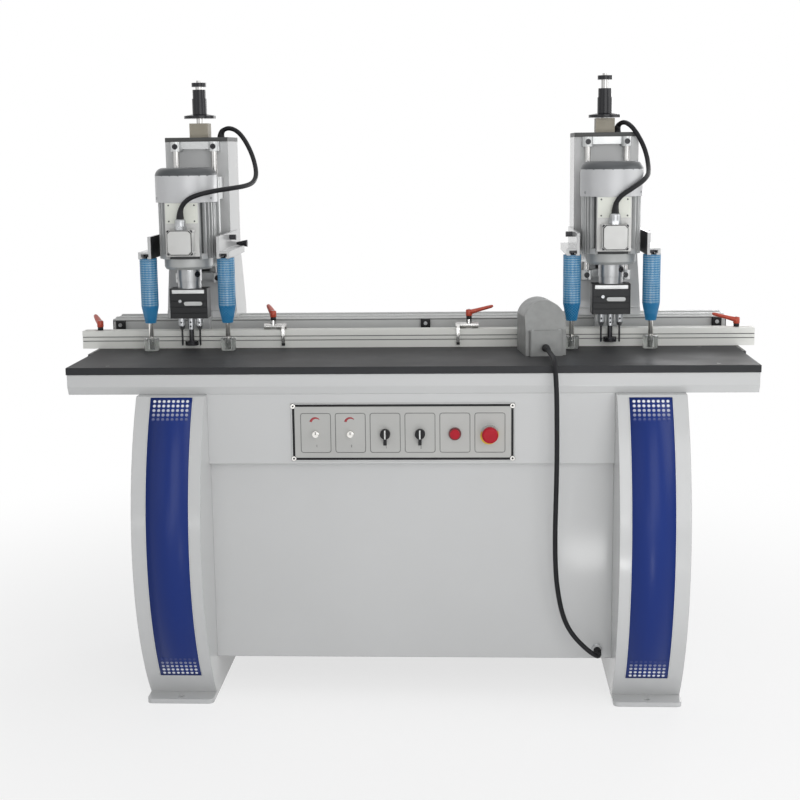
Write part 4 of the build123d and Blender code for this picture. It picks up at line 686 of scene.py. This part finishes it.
def net_tree():
    """Net of strands wound both ways up a barrel and down its tapered nose, round each seed point."""
    tree, start, end = seed_tree("net_sleeve", [
        ("Barrel Radius", NUMBER, 0.0224), ("Barrel Height", NUMBER, 0.127),
        ("Nose Radius", NUMBER, 0.0134), ("Nose Height", NUMBER, CLAMP_NOSE),
        ("Strands", "NodeSocketInt", 14), ("Strand Radius", NUMBER, 0.0006),
    ])
    join = add_node(tree, "GeometryNodeJoinGeometry")
    for reverse in (False, True):
        barrel, nose = [
            (add_node(tree, "GeometryNodeCurveSpiral", {
                "Resolution": 24, "Rotations": turns, "Start Radius": (start, f"{part} Radius"),
                "End Radius": (start, "Barrel Radius"), "Height": (start, f"{part} Height"), "Reverse": reverse,
            }), "Curve") for part, turns in (("Barrel", 1.4), ("Nose", 0.45))
        ]
        for strand in (moved_up(tree, barrel, (start, "Nose Height")), nose):
            set_inputs(join, {"Geometry": strand})
    ring = add_node(tree, "GeometryNodeMeshLine", {"Count": (start, "Strands"), "Offset": (0, 0, 0)})
    step = add_math(tree, "DIVIDE", 2 * math.pi, (start, "Strands"))
    angle = add_math(tree, "MULTIPLY", (add_node(tree, "GeometryNodeInputIndex"), "Index"), step)
    around = add_node(tree, "GeometryNodeInstanceOnPoints", {
        "Points": (ring, "Mesh"), "Instance": swept(tree, (join, "Geometry"), 4, (start, "Strand Radius")),
        "Rotation": (add_node(tree, "ShaderNodeCombineXYZ", {"Z": angle}), "Vector")})
    return set_on_seeds(tree, start, end, (around, "Instances"))


def rib_tree():
    """Straight ribs, one on each seed point."""
    tree, start, end = seed_tree("ribs", [("Rib Size", VECTOR, (0.06, 0.003, 0.002))])
    rib = add_node(tree, "GeometryNodeMeshCube", {"Size": (start, "Rib Size")})
    return set_on_seeds(tree, start, end, (rib, "Mesh"))


SCREWS = screw_tree()
DOTS = disc_tree()
CELLS = cell_tree()
NET = net_tree()
RIBS = rib_tree()


def grow(name, tree, seeds, values, body, place=None):
    """Run a tree on seed points, each with the direction it faces, and keep the result as a plain piece."""
    mesh = bpy.data.meshes.new(name)
    mesh.from_pydata([tuple(spot) for spot, _ in seeds], [], [])
    directions = mesh.attributes.new("facing", "FLOAT_VECTOR", "POINT")
    for entry, (_, direction) in zip(directions.data, seeds):
        entry.vector = direction
    piece = show(name, mesh)
    modifier = piece.modifiers.new("grow", "NODES")
    modifier.node_group = tree
    for item in tree.interface.items_tree:
        if item.item_type == "SOCKET" and item.in_out == "INPUT" and item.name in values:
            modifier[item.identifier] = values[item.name]
    grown = solved(piece)
    piece.modifiers.remove(modifier)
    piece.data = grown
    bpy.data.meshes.remove(mesh)
    if place is not None:
        grown.transform(place)
    smooth(grown)
    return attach(piece, body)


def screws(name, spots, radius, height, body, material=black_steel, share=0.5, depth=0.7, place=None):
    """Screw heads at spots, each with the direction it faces; the drive's share and depth go by the head's size."""
    values = {"Head Radius": radius, "Head Height": height, "Drive Share": share,
              "Drive Depth": depth * height, "Finish": material}
    return grow(name, SCREWS, spots, values, body, place)


# Cords

# Routes: those of the motor cables count along the table from the middle of their head
LEFT_CABLE = [
    (0.007, -0.070, 1.240), (0.024, -0.070, 1.256), (0.052, -0.065, 1.267), (0.090, -0.047, 1.275),
    (0.127, -0.010, 1.280), (0.155, 0.038, 1.284), (0.170, 0.084, 1.292), (0.173, 0.125, 1.313),
    (0.162, 0.164, 1.347), (0.146, 0.194, 1.380), (0.126, 0.219, 1.410), (0.106, 0.238, 1.430),
    (0.084, 0.250, 1.439), (0.067, 0.255, 1.436), (0.057, 0.256, 1.4255), (0.057, 0.256, 1.4135),
]
RIGHT_CABLE = [
    (0.004, -0.069, 1.239), (0.017, -0.066, 1.254), (0.046, -0.055, 1.271), (0.076, -0.027, 1.289),
    (0.092, 0.018, 1.302), (0.099, 0.066, 1.311), (0.103, 0.108, 1.325), (0.103, 0.142, 1.349),
    (0.095, 0.162, 1.379), (0.081, 0.170, 1.406), (0.067, 0.182, 1.427), (0.054, 0.206, 1.439),
    (0.045, 0.234, 1.440), (0.038, 0.250, 1.434), (0.035, 0.256, 1.4255), (0.035, 0.256, 1.4135),
]
CORD_ROUTE = [
    (0.347, -0.215, 0.8705), (0.350, -0.252, 0.8695), (0.352, -0.288, 0.8695), (0.353, -0.322, 0.859),
    (0.354, -0.341, 0.828), (0.356, -0.346, 0.784), (0.357, -0.344, 0.720), (0.358, -0.338, 0.635),
    (0.357, -0.333, 0.540), (0.355, -0.328, 0.440), (0.357, -0.321, 0.350), (0.363, -0.315, 0.290),
    (0.373, -0.312, 0.238), (0.386, -0.311, 0.200), (0.404, -0.316, 0.172), (0.4275, -0.331, 0.151),
    (0.4465, -0.339, 0.137), (0.461, -0.331, 0.126), (0.468, -0.313, 0.121), (0.466, -0.291, 0.123),
    (0.466, -0.282, 0.123),
]


def cord_line(name, points):
    """Smooth line through a cord's route."""
    curve = bpy.data.curves.new(name, "CURVE")
    curve.dimensions = "3D"
    spline = curve.splines.new("NURBS")
    spline.points.add(len(points) - 1)
    for point, spot in zip(spline.points, points):
        point.co = (*spot, 1)
    spline.order_u = 3
    spline.use_endpoint_u = True
    curve.resolution_u = 8
    return show(name, curve)


def cord_tube(name, points, radius):
    """Round tube along a cord's line, and the points that it follows."""
    line = cord_line(name + "_line", points)
    thread = solved(line)
    path = [tuple(v.co) for v in thread.vertices]
    line.data.bevel_depth = radius
    line.data.bevel_resolution = 4
    line.data.use_fill_caps = True
    mesh = solved(line)
    mesh.name = name
    mesh.materials.clear()
    mesh.materials.append(rubber)
    mesh.shade_smooth()
    bpy.data.objects.remove(line)
    bpy.data.meshes.remove(thread)
    return show(name, mesh), path


def cord_relief(name, path, length, wide, slim, body):
    """Tapered, ringed strain relief along the start of a cord's points."""
    rings = []
    gone = 0.0
    across = None
    for here, ahead in zip(path, path[1:]):
        spot = Vector(here)
        along = (Vector(ahead) - spot).normalized()
        across = along.orthogonal() if across is None else across
        across = (across - across.dot(along) * along).normalized()
        beside = along.cross(across)
        share = min(gone / length, 1.0)
        for ridge in (0.0, 0.0007):
            radius = wide + (slim - wide) * share - ridge
            place = spot + (gone > 0) * ridge * along
            rings.append([place + radius * (math.cos(a) * across + math.sin(a) * beside) for a in round_steps(20)])
        if share == 1.0:
            break
        gone += (Vector(ahead) - spot).length
    bm = bmesh.new()
    add_loft(bm, rings)
    keep(name, bm, black_plastic, body, 60)


def lay_cord(name, node, points, diameter):
    """Rubber tube in place of a cord's solid, and the points that it follows."""
    tube, path = cord_tube(name, points, diameter / 2)
    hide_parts(node)
    return tube, path


def motor_cable(side, x, lift, route):
    """Cable from the motor's gland to the top plate, laid for the feed's lift, with a strain relief riding on the feed
    and one on the head.
    """
    head, feed = f"{side}_head", f"{side}_feed"
    points = [(x, GLAND_Y, z + lift) for z in GLAND_Z]
    points += [(x + along, y, z) for along, y, z in route]
    tube, path = lay_cord(f"{side}_motor_cable_rubber", f"{side}_motor_cable", points, 0.0125)
    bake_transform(tube)
    cord_relief(f"{side}_motor_cable_relief", path, 0.026, 0.0105, 0.0070, feed)
    cord_relief(f"{side}_top_cable_relief", path[::-1], 0.022, 0.0105, 0.0070, head)


def pedal_cord():
    """Cord from the foot switch over the table's edge to the front panel."""
    points = [PEDAL_PLACE @ Vector((PEDAL_EXIT_X, y, PEDAL_EXIT_Z)) for y in (-0.088, -0.118)]
    points += [Vector(spot) for spot in CORD_ROUTE]
    tube, path = lay_cord("pedal_cord_rubber", "pedal_cord", points, 0.012)
    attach(tube, "stand")
    cord_relief("panel_cord_relief", path[::-1], 0.026, 0.0098, 0.0067, "stand")


# Stand

BOW_SPOTS = ((-0.294, 0.012), (-0.435, 0.425), (-0.318, 0.783))
BAND_HALF, BAND_EDGE, BAND_LOW = 0.0535, 0.0016, 0.0720


def circle_through(spots):
    """Centre and radius of the circle through three spots."""
    (ay, az), (by, bz), (cy, cz) = spots
    squares = [y * y + z * z for y, z in spots]
    double = 2 * (ay * (bz - cz) + by * (cz - az) + cy * (az - bz))
    y = (squares[0] * (bz - cz) + squares[1] * (cz - az) + squares[2] * (az - bz)) / double
    z = (squares[0] * (cy - by) + squares[1] * (ay - cy) + squares[2] * (by - ay)) / double
    return y, z, math.hypot(ay - y, az - z)


ARC_Y, ARC_Z, ARC_RADIUS = circle_through(BOW_SPOTS)


def on_bow(x, z, proud):
    """Spot on a leg's bowed front at a height, and the way that it faces."""
    reach = math.sqrt(ARC_RADIUS ** 2 - (z - ARC_Z) ** 2)
    outward = Vector((0, -reach, z - ARC_Z)) / ARC_RADIUS
    return Vector((x, ARC_Y - reach, z)) + proud * outward, outward


def add_bow_strip(bm, x0, x1, z0, z1, proud, material):
    """Thin strip laid on a leg's bow."""
    steps = 48
    heights = [z0 + (z1 - z0) * k / steps for k in range(steps + 1)]
    add_ribbon(bm, [[on_bow(x, z, proud)[0] for x in (x0, x1)] for z in heights], material)


def leg_band(name, middle, high):
    """Blue band up a leg's bow, with white edges and fading rows of dots at both ends."""
    bm = bmesh.new()
    add_bow_strip(bm, middle - BAND_HALF, middle + BAND_HALF, BAND_LOW, high, 0.0004, 0)
    for side in SIDES:
        rims = sorted(middle + side * reach for reach in (BAND_HALF - BAND_EDGE, BAND_HALF))
        add_bow_strip(bm, *rims, BAND_LOW, high, 0.0006, 1)
    thicken(keep(name, bm, [band_blue, print_white], "stand"), 0.0003, 1.0)
    seeds = []
    for row in range(5):
        for column in range(8):
            x = middle + (column - 3.5) * 0.0116
            seeds.append(on_bow(x, high - 0.0088 - 0.0101 * row, 0.0008))
            seeds.append(on_bow(x, BAND_LOW + 0.009 + 0.0112 * row, 0.0008))
    grow(name + "_dots", DOTS, seeds, {"Dot Radius": 0.0038, "Finish": dots_white}, "stand")


def beam_caps():
    """Moulded caps on the beam's two ends."""
    low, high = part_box("rear_beam")
    outline = rounded(high.y - low.y - 0.001, high.z - low.z - 0.001, 0.0085)
    bm = bmesh.new()
    for side, x in zip(SIDES, (low.x, high.x)):
        middle = (x, (low.y + high.y) / 2, (low.z + high.z) / 2)
        add_plate(bm, outline, 0.0025, 0.0008, facing(middle, (side, 0, 0)))
    keep("beam_end_caps", bm, black_plastic, "stand")


def stand_screws():
    """Bolts in the limit blocks and the board's sunk screws."""
    blocks = [((x, 0.154, 0.904), FRONT) for x in (-0.821, 0.026, 0.818)]
    screws("limit_block_bolts", blocks, 0.0052, 0.0030, "stand", ground_steel, share=0.55)
    board = [((x, y, TABLE_TOP - 0.0006), UP) for x in (-0.752, 0.752) for y in (-0.270, 0.030)]
    screws("board_screws", board, 0.0050, 0.0007, "stand", depth=0.8)


def rear_fittings():
    """Screws of the rear panel, and a screwed cover on the back of each column."""
    low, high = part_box("rear_panel")
    margin = 0.03
    spots = []
    for k in range(5):
        x = low.x + margin + (high.x - low.x - 2 * margin) * k / 4
        spots += [((x, high.y, z), BACK) for z in (low.z + margin, high.z - margin)]
    screws("rear_panel_screws", spots, 0.0050, 0.0018, "stand", ground_steel, share=0.45)
    for side, _, _ in HEADS:
        head = f"{side}_head"
        low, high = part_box(f"{side}_column")
        middle = Vector(((low.x + high.x) / 2, high.y, COLUMN_COVER_Z))
        cover = rounded(0.116, 0.300, 0.006)
        plate_piece(f"{side}_rear_cover", cover, 0.0012, 0.0005, facing(middle, BACK), enamel, head)
        spots = [(middle + Vector((x, 0.0011, z)), BACK) for x in (-0.050, 0.050) for z in (-0.142, 0, 0.142)]
        screws(f"{side}_rear_cover_screws", spots, 0.0042, 0.0014, head, ground_steel, share=0.45)


def panel_border():
    """White rim and black line round the control panel."""
    bm = bmesh.new()
    low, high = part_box("control_plate")
    for margin, width, material in ((0.0004, 0.0026, 1), (0.0030, 0.0058, 0)):
        x0, x1, z0, z1 = low.x + margin, high.x - margin, low.z + margin, high.z - margin
        for a, b, c, d in (
            (x0, x1, z1 - width, z1), (x0, x1, z0, z0 + width),
            (x0, x0 + width, z0 + width, z1 - width), (x1 - width, x1, z0 + width, z1 - width),
        ):
            add_block(bm, (a, PANEL_PLATE_Y - 0.0004, c), (b, PANEL_PLATE_Y + 0.0002, d), material=material)
    keep("panel_border", bm, [print_black, enamel], "stand")


def speed_arcs():
    """Red arcs over the speed knobs, which taper along their way."""
    bm = bmesh.new()
    steps = 20
    for x in CONTROL_X[:2]:
        centre = Vector((x, PANEL_PLATE_Y - 0.0003, CONTROL_Z + 0.0275))
        rows = []
        for k in range(steps + 1):
            angle = math.radians(168 - 128 * k / steps)
            thick = 0.0058 * math.sqrt(1 - k / steps) + 0.0004
            arm = Vector((math.cos(angle), 0, math.sin(angle)))
            rows.append([centre + (0.0125 + s * thick / 2) * arm for s in SIDES])
        add_ribbon(bm, rows)
    thicken(keep("speed_arcs", bm, print_red, "stand"), 0.0002)


def add_figure(bm, figure, spot):
    """Small plain figure printed on the front, middle at a spot."""
    curve = bpy.data.curves.new("figure", "FONT")
    curve.body = figure
    curve.size = 0.0085
    curve.extrude = 0.0001
    curve.align_x = "CENTER"
    curve.align_y = "CENTER"
    sign = show("figure", curve)
    mesh = solved(sign)
    mesh.materials.clear()
    mesh.transform(Matrix.Translation(spot) @ Matrix.Rotation(math.pi / 2, 4, "X"))
    bm.from_mesh(mesh)
    bpy.data.objects.remove(sign)
    bpy.data.meshes.remove(mesh)


def control_prints():
    """Border, cell frames, arcs, figures, screws and pointers of the control panel."""
    front = PANEL_PLATE_Y
    panel_border()
    shield = [((CONTROL_X[5] - 0.0028, front - 0.0004, CONTROL_Z - 0.0060), FRONT)]
    values = {"Dot Radius": 0.0215, "Dot Thickness": 0.0008, "Finish": collar_yellow}
    grow("stop_shield", DOTS, shield, values, "stand")
    cells = [((x, front - 0.0001, CONTROL_Z + 0.0022), FRONT) for x in CONTROL_X]
    grow("panel_cells", CELLS, cells, {"Finish": print_grey}, "stand")
    speed_arcs()
    bm = bmesh.new()
    for figure, x, drop in zip("1212", CONTROL_X, (0.0310, 0.0310, 0.0345, 0.0345)):
        add_figure(bm, figure, Vector((x + 0.002, front - 0.0001, CONTROL_Z - drop)))
    keep("panel_figures", bm, print_black, "stand")
    corners = [(x, z) for x in (-0.2891, 0.2519) for z in (0.621, 0.7528)]
    heads = [((x, front, z), FRONT) for x, z in corners]
    screws("panel_screws", heads, 0.0060, 0.0026, "stand", knob_chrome, share=0.40, depth=0.8)
    washers = [((x, front - 0.0005, z), FRONT) for x, z in corners]
    values = {"Dot Radius": 0.0066, "Dot Thickness": 0.0006, "Finish": print_black}
    grow("panel_washers", DOTS, washers, values, "stand")
    for index, x in enumerate(CONTROL_X[:2], 1):
        knob = f"speed_knob_{index}"
        low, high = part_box(knob)
        block_piece(f"{knob}_pointer", (x - 0.0009, low.y - 0.0003, CONTROL_Z),
                    (x + 0.0009, low.y + 0.0004, high.z - 0.001), 0.0002, print_black, knob)
    tip = front - 0.0183
    for index, x in enumerate(CONTROL_X[2:4], 1):
        block_piece(f"selector_{index}_pointer", (x - 0.0017, tip - 0.0005, CONTROL_Z - 0.0105),
                    (x + 0.0017, tip + 0.0004, CONTROL_Z + 0.0115), 0.0003, print_white, f"selector_{index}")


def foot_switch():
    """Ribs, screws and strain relief of the foot switch, and the nut where its cord enters the panel."""
    ribs = [((0, -0.008 + 0.0105 * k, 0.0405 + 0.00102 * k), UP) for k in range(8)]
    values = {"Rib Size": (0.066, 0.0034, 0.0026), "Finish": black_plastic}
    grow("treadle_ribs", RIBS, ribs, values, "pedal_treadle", PEDAL_PLACE)
    lid = [((x, -0.068, 0.066), UP) for x in (-0.034, 0.034)]
    screws("foot_switch_screws", lid, 0.0035, 0.0016, "stand", ground_steel, 0.45, 0.6, PEDAL_PLACE)
    profile = [(0.0098, 0), (0.0098, 0.006), (0.0088, 0.007)]
    for k in range(4):
        z, ridge, groove = 0.008 + 0.006 * k, 0.0086 - 0.0003 * k, 0.0074 - 0.0002 * k
        profile += [(ridge, z), (ridge, z + 0.003), (groove, z + 0.0035), (groove, z + 0.0055)]
    profile += [(0.0068, 0.033), (0.0062, 0.036)]
    bm = bmesh.new()
    add_turned(bm, profile, PEDAL_PLACE @ facing((PEDAL_EXIT_X, -0.084, PEDAL_EXIT_Z), FRONT))
    keep("foot_switch_relief", bm, black_plastic, "stand")
    bm = bmesh.new()
    add_turned(bm, [(0.0135, 0), (0.0135, 0.006), (0.0115, 0.0065)], facing(PANEL_GLAND, FRONT), 6)
    keep("panel_gland_nut", bm, ground_steel, "stand")


# Fence

# Along the handle of a clamp lever: reach, rise, half width and half height
HANDLE = (
    (0.000, 0.0185, 0.0084, 0.0066), (0.010, 0.0205, 0.0090, 0.0062), (0.022, 0.0238, 0.0088, 0.0054),
    (0.036, 0.0275, 0.0080, 0.0049), (0.050, 0.0311, 0.0068, 0.0046), (0.060, 0.0337, 0.0054, 0.0041),
    (0.0645, 0.0349, 0.0030, 0.0023),
)


def clamp_lever(name, node, hub, turn):
    """Clamp lever: black skirt, red hub and a rising handle that tapers to its rounded end."""
    place = Matrix.Translation(hub) @ Matrix.Rotation(math.radians(turn), 4, "Z")
    bm = bmesh.new()
    add_turned(bm, [(0.0070, 0), (0.0075, 0.0005), (0.0075, 0.0080), (0.0066, 0.0090)], place, 28, 1)
    red_hub = [(0.0082, 0.0088), (0.0086, 0.0096), (0.0086, 0.0235), (0.0074, 0.0256), (0.0030, 0.0262)]
    add_turned(bm, red_hub, place, 28)
    rings = []
    for reach, rise, wide, tall in HANDLE:
        rings.append([
            place @ Vector((reach - 0.2 * tall * math.sin(a), wide * math.cos(a), rise + tall * math.sin(a)))
            for a in round_steps(16)
        ])
    add_loft(bm, rings)
    add_turned(bm, [(0.0040, -0.0115), (0.0040, 0.0010)], place, 16, 2)
    piece = keep(name, bm, [lever_red, black_plastic, ground_steel], node, 50)
    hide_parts(node)
    screws(name + "_screw", [((0, 0, 0.0258), UP)], 0.0032, 0.0012, node, ground_steel, place=place)


def fence_levers():
    """The two levers that clamp the fence, those of the flip stops, and the tips of the stops' fingers."""
    clamp_lever("left_fence_handle", "left_fence_lever", (-0.855, LEVER_Y, 0.9003), 116)
    clamp_lever("right_fence_handle", "right_fence_lever", (0.855, LEVER_Y, 0.9003), 180)
    clamp_lever("stop_1_handle", "stop_1_lever", (-0.382, LEVER_Y, 0.9246), 110)
    clamp_lever("stop_2_handle", "stop_2_lever", (0.1455, LEVER_Y, 0.9246), 0)
    for finger in ("stop_1_finger", "stop_2_finger"):
        low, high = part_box(finger)
        block_piece(f"{finger}_tip", (low.x - 0.0006, low.y - 0.0006, low.z + 0.0004),
                    (high.x + 0.0006, low.y + 0.0036, low.z + 0.0075), 0.0006, black_plastic, finger)


# Heads

HOLD_ROD = [(0.0045, 0.0065), (0.0062, 0.0080), (0.0065, 0.0090), (0.0065, 0.1355)]
CLEAR_FOOT = [
    (0.0003, 0.0060), (0.0068, 0.0060), (0.0068, 0.0350), (0.0172, 0.0350), (0.0196, 0.0338), (0.0200, 0.0320),
    (0.0200, 0.0040), (0.0188, 0.0020), (0.0003, 0.0020),
]


def clamp_feet(side, x):
    """Hold-down rods, and the clear feet in which their ends show."""
    body = f"{side}_clamp_rods"
    rods, feet = bmesh.new(), bmesh.new()
    for sx in SIDES:
        place = Matrix.Translation((x + sx * CLAMP_X, 0, TABLE_TOP))
        add_turned(rods, HOLD_ROD, place, 24)
        add_turned(feet, CLEAR_FOOT, place, 40)
    rod = keep(f"{side}_hold_rods", rods, knob_chrome, body)
    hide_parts(body)
    keep(f"{side}_clear_feet", feet, clear_foot, body)


def terminal_lid(side, x, z):
    """Lid on a slightly larger dark rim, with a screwed lug at each corner of the terminal box."""
    feed = f"{side}_feed"
    lid = facing((x, LID_Y, z), FRONT)
    bm = bmesh.new()
    add_plate(bm, cut_corners(0.0300, 0.0072), 0.0045, 0.0016, lid @ Matrix.Translation((0, 0, 0.0015)))
    add_plate(bm, cut_corners(0.0316, 0.0078), 0.0015, 0.0, lid, 1)
    lugs = four(LUG_X, LUG_Z)
    for dx, dz in lugs:
        spot = (x + dx, MOTOR_PAD_Y - 0.001, z + dz)
        add_turned(bm, [(0.0052, 0), (0.0052, 0.034), (0.0046, 0.0346)], facing(spot, FRONT), 20)
    keep(f"{side}_terminal_lid", bm, [box_grey, rubber], feed)
    heads = [((x + dx, MOTOR_PAD_Y - 0.0356, z + dz), FRONT) for dx, dz in lugs]
    screws(f"{side}_terminal_screws", heads, 0.0038, 0.0014, feed)


def round_motor(x, z, radius, turns):
    """Spots round the motor's axis at a height, each at a turn from the front and facing outward."""
    spots = []
    for turn in turns:
        out = Vector((math.sin(math.radians(turn)), -math.cos(math.radians(turn)), 0))
        spots.append((Vector((x, SPINDLE_Y, z)) + radius * out, out))
    return spots


def head_trim(side, x, lift):
    """Small pieces of one head."""
    head, feed = f"{side}_head", f"{side}_feed"
    nets = [((x + sx * CLAMP_X, 0, CLAMP_BOTTOM), UP) for sx in SIDES]
    grow(f"{side}_clamp_nets", NET, nets, {"Finish": net_blue}, head)
    clamp_feet(side, x)
    sockets = [((x + sx * ROD_X, 0.152, z), FRONT) for sx in SIDES for z in (1.389, 1.033)]
    screws(f"{side}_rod_screws", sockets, 0.0075, 0.003, head, share=0.55, depth=0.8)
    terminal_lid(side, x, LID_Z + lift)
    z = NAMEPLATE_Z + lift
    plate_piece(f"{side}_nameplate", rounded(0.084, 0.052, 0.002), 0.0008, 0.0003,
                facing((x, MOTOR_PAD_Y, z), FRONT), cream_plate, feed)
    pins = [((x + dx, MOTOR_PAD_Y - 0.0007, z + dz), FRONT) for dx, dz in four(0.0335, 0.0205)]
    screws(f"{side}_nameplate_pins", pins, 0.0020, 0.0010, feed, share=0.4, depth=0.4)
    plate_piece(f"{side}_gearbox_strip", rounded(0.086, 0.0100, 0.0012), 0.0012, 0.0004,
                facing((x, GEARBOX_Y, 1.0022 + lift), FRONT), machined, feed)
    plate_piece(f"{side}_gearbox_pill", rounded(0.049, 0.0105, 0.0052), 0.0010, 0.0004,
                facing((x + 0.0125, GEARBOX_Y, 0.9704 + lift), FRONT), print_white, feed)
    plug = [((x - 0.022, GEARBOX_Y, 0.977 + lift), FRONT)]
    screws(f"{side}_gearbox_plug", plug, 0.0042, 0.0016, feed, ground_steel, 0.4, 0.6)
    neck = round_motor(x, 1.0475 + lift, 0.0320, (50,))
    screws(f"{side}_coupling_plugs", neck, 0.0080, 0.0030, feed, depth=0.8)
    rim = round_motor(x, 1.2475 + lift, 0.0808, (-62, 62, 118, 242))
    screws(f"{side}_fan_cover_screws", rim, 0.0034, 0.0016, feed, ground_steel, 0.45, 0.6)
    for name, body, dx, y in (
        ("centre", "centre_spindle", 0, SPINDLE_Y), ("left", "side_spindle_left", -0.024, 0.022),
        ("right", "side_spindle_right", 0.024, 0.022),
    ):
        chuck = [((x + dx, y - 0.0093, z + lift), FRONT) for z in (0.9075, 0.9185)]
        screws(f"{side}_{name}_chuck_screws", chuck, 0.0026, 0.0008, f"{side}_{body}")


# Stage

def photo_view():
    """Camera at the photograph's view."""
    yaw, pitch, roll = 0.051, 0.1722, -0.0122
    level = Vector((math.cos(yaw), math.sin(yaw), 0))
    ahead = Vector((-math.sin(yaw) * math.cos(pitch), math.cos(yaw) * math.cos(pitch), -math.sin(pitch)))
    above = level.cross(ahead)
    right = math.cos(roll) * level + math.sin(roll) * above
    up = -math.sin(roll) * level + math.cos(roll) * above
    data = bpy.data.cameras.new("photo_view")
    data.lens = 64.138
    data.sensor_width = 36.0
    camera = show("photo_view", data)
    turn = Matrix((right, up, -ahead)).transposed()
    camera.matrix_world = Matrix.Translation((0.1518, -3.7346, 1.3675)) @ turn.to_4x4()
    scene.camera = camera


def lamps():
    """Soft lamps round the machine, a low window and a bright patch on the floor."""
    middle = (0, 0, 0.85)
    for name, spot, target, size, power in (
        ("key", (1.2, -3.5, 1.8), middle, (2.6, 2.6), 38),
        ("side", (3.4, -0.6, 2.0), middle, (2.4, 2.4), 28),
        ("fill", (-3.0, -2.8, 1.8), middle, (2.6, 2.6), 8),
        ("top", (0.2, -0.2, 3.6), middle, (2.6, 2.6), 14),
        ("back", (1.5, 2.7, 1.35), middle, (1.3, 1.3), 20),
        ("window", (-0.2, -4.4, 0.46), (-0.2, 0, 0.46), (2.8, 0.16), 11),
        ("floor_glow", (0.62, -1.45, 0.03), (0.62, -1.45, 1), (0.3, 0.3), 3.4),
    ):
        lamp = bpy.data.lights.new(name, "AREA")
        lamp.shape = "RECTANGLE"
        lamp.size, lamp.size_y = size
        lamp.energy = power
        aim = Vector(target) - Vector(spot)
        show(name, lamp).matrix_world = Matrix.Translation(spot) @ aim.to_track_quat("-Z", "Y").to_matrix().to_4x4()


def shown_to(tree, lit, seen, output, share=1.0):
    """Show a share of one shader to the camera and in reflections, and light with the other."""
    path = add_node(tree, "ShaderNodeLightPath")
    either = add_math(tree, "ADD", (path, "Is Camera Ray"), (path, "Is Glossy Ray"))
    any_ray = add_math(tree, "ADD", either, (path, "Is Transmission Ray"), use_clamp=True)
    mix = add_node(tree, "ShaderNodeMixShader", {
        "Fac": add_math(tree, "MULTIPLY", any_ray, share), 1: (lit, 0), 2: (seen, 0)})
    set_inputs(output, {"Surface": (mix, "Shader")})


def floor_finish():
    """Pale matt floor that runs out to plain white away from the machine."""
    material = bpy.data.materials.new("pale_floor")
    material.use_nodes = True
    tree = material.node_tree
    shader = tree.nodes["Principled BSDF"]
    set_inputs(shader, {"Base Color": (0.90, 0.90, 0.90, 1), "Roughness": 0.9})
    place = add_node(tree, "ShaderNodeTexCoord")
    length = add_node(tree, "ShaderNodeVectorMath", {0: (place, "Object")}, operation="LENGTH")
    far = add_node(tree, "ShaderNodeMapRange", {
        "Value": (length, "Value"), "From Min": 0.7, "From Max": 2.6, "To Min": 0.72}, interpolation_type="SMOOTHSTEP")
    white = add_node(tree, "ShaderNodeEmission")
    shown_to(tree, shader, white, tree.nodes["Material Output"], (far, "Result"))
    return material


def backdrop():
    """Soft white surroundings and the floor."""
    world = bpy.data.worlds.new("studio")
    world.use_nodes = True
    tree = world.node_tree
    seen = add_node(tree, "ShaderNodeBackground", {"Strength": 1.0, "Color": WHITE})
    lit = tree.nodes["Background"]
    set_inputs(lit, {"Color": (0.98, 0.99, 1.0, 1), "Strength": 0.34})
    shown_to(tree, lit, seen, tree.nodes["World Output"])
    scene.world = world
    bm = bmesh.new()
    bmesh.ops.create_grid(bm, x_segments=2, y_segments=2, size=30)
    mesh = bpy.data.meshes.new("floor")
    bm.to_mesh(mesh)
    bm.free()
    mesh.materials.append(floor_finish())
    floor = show("floor", mesh)
    floor.location = (0, 0, -0.0005)


photo_view()
lamps()
backdrop()
dress_stand()
leg_band("left_leg_band", -0.5835, 0.7805)
leg_band("right_leg_band", 0.5830, 0.7775)
beam_caps()
stand_screws()
rear_fittings()
control_prints()
foot_switch()
fence_levers()
pedal_cord()
for (side, x, lift), route in zip(HEADS, (LEFT_CABLE, RIGHT_CABLE)):
    dress_head(side, x, lift)
    head_trim(side, x, lift)
    motor_cable(side, x, lift, route)
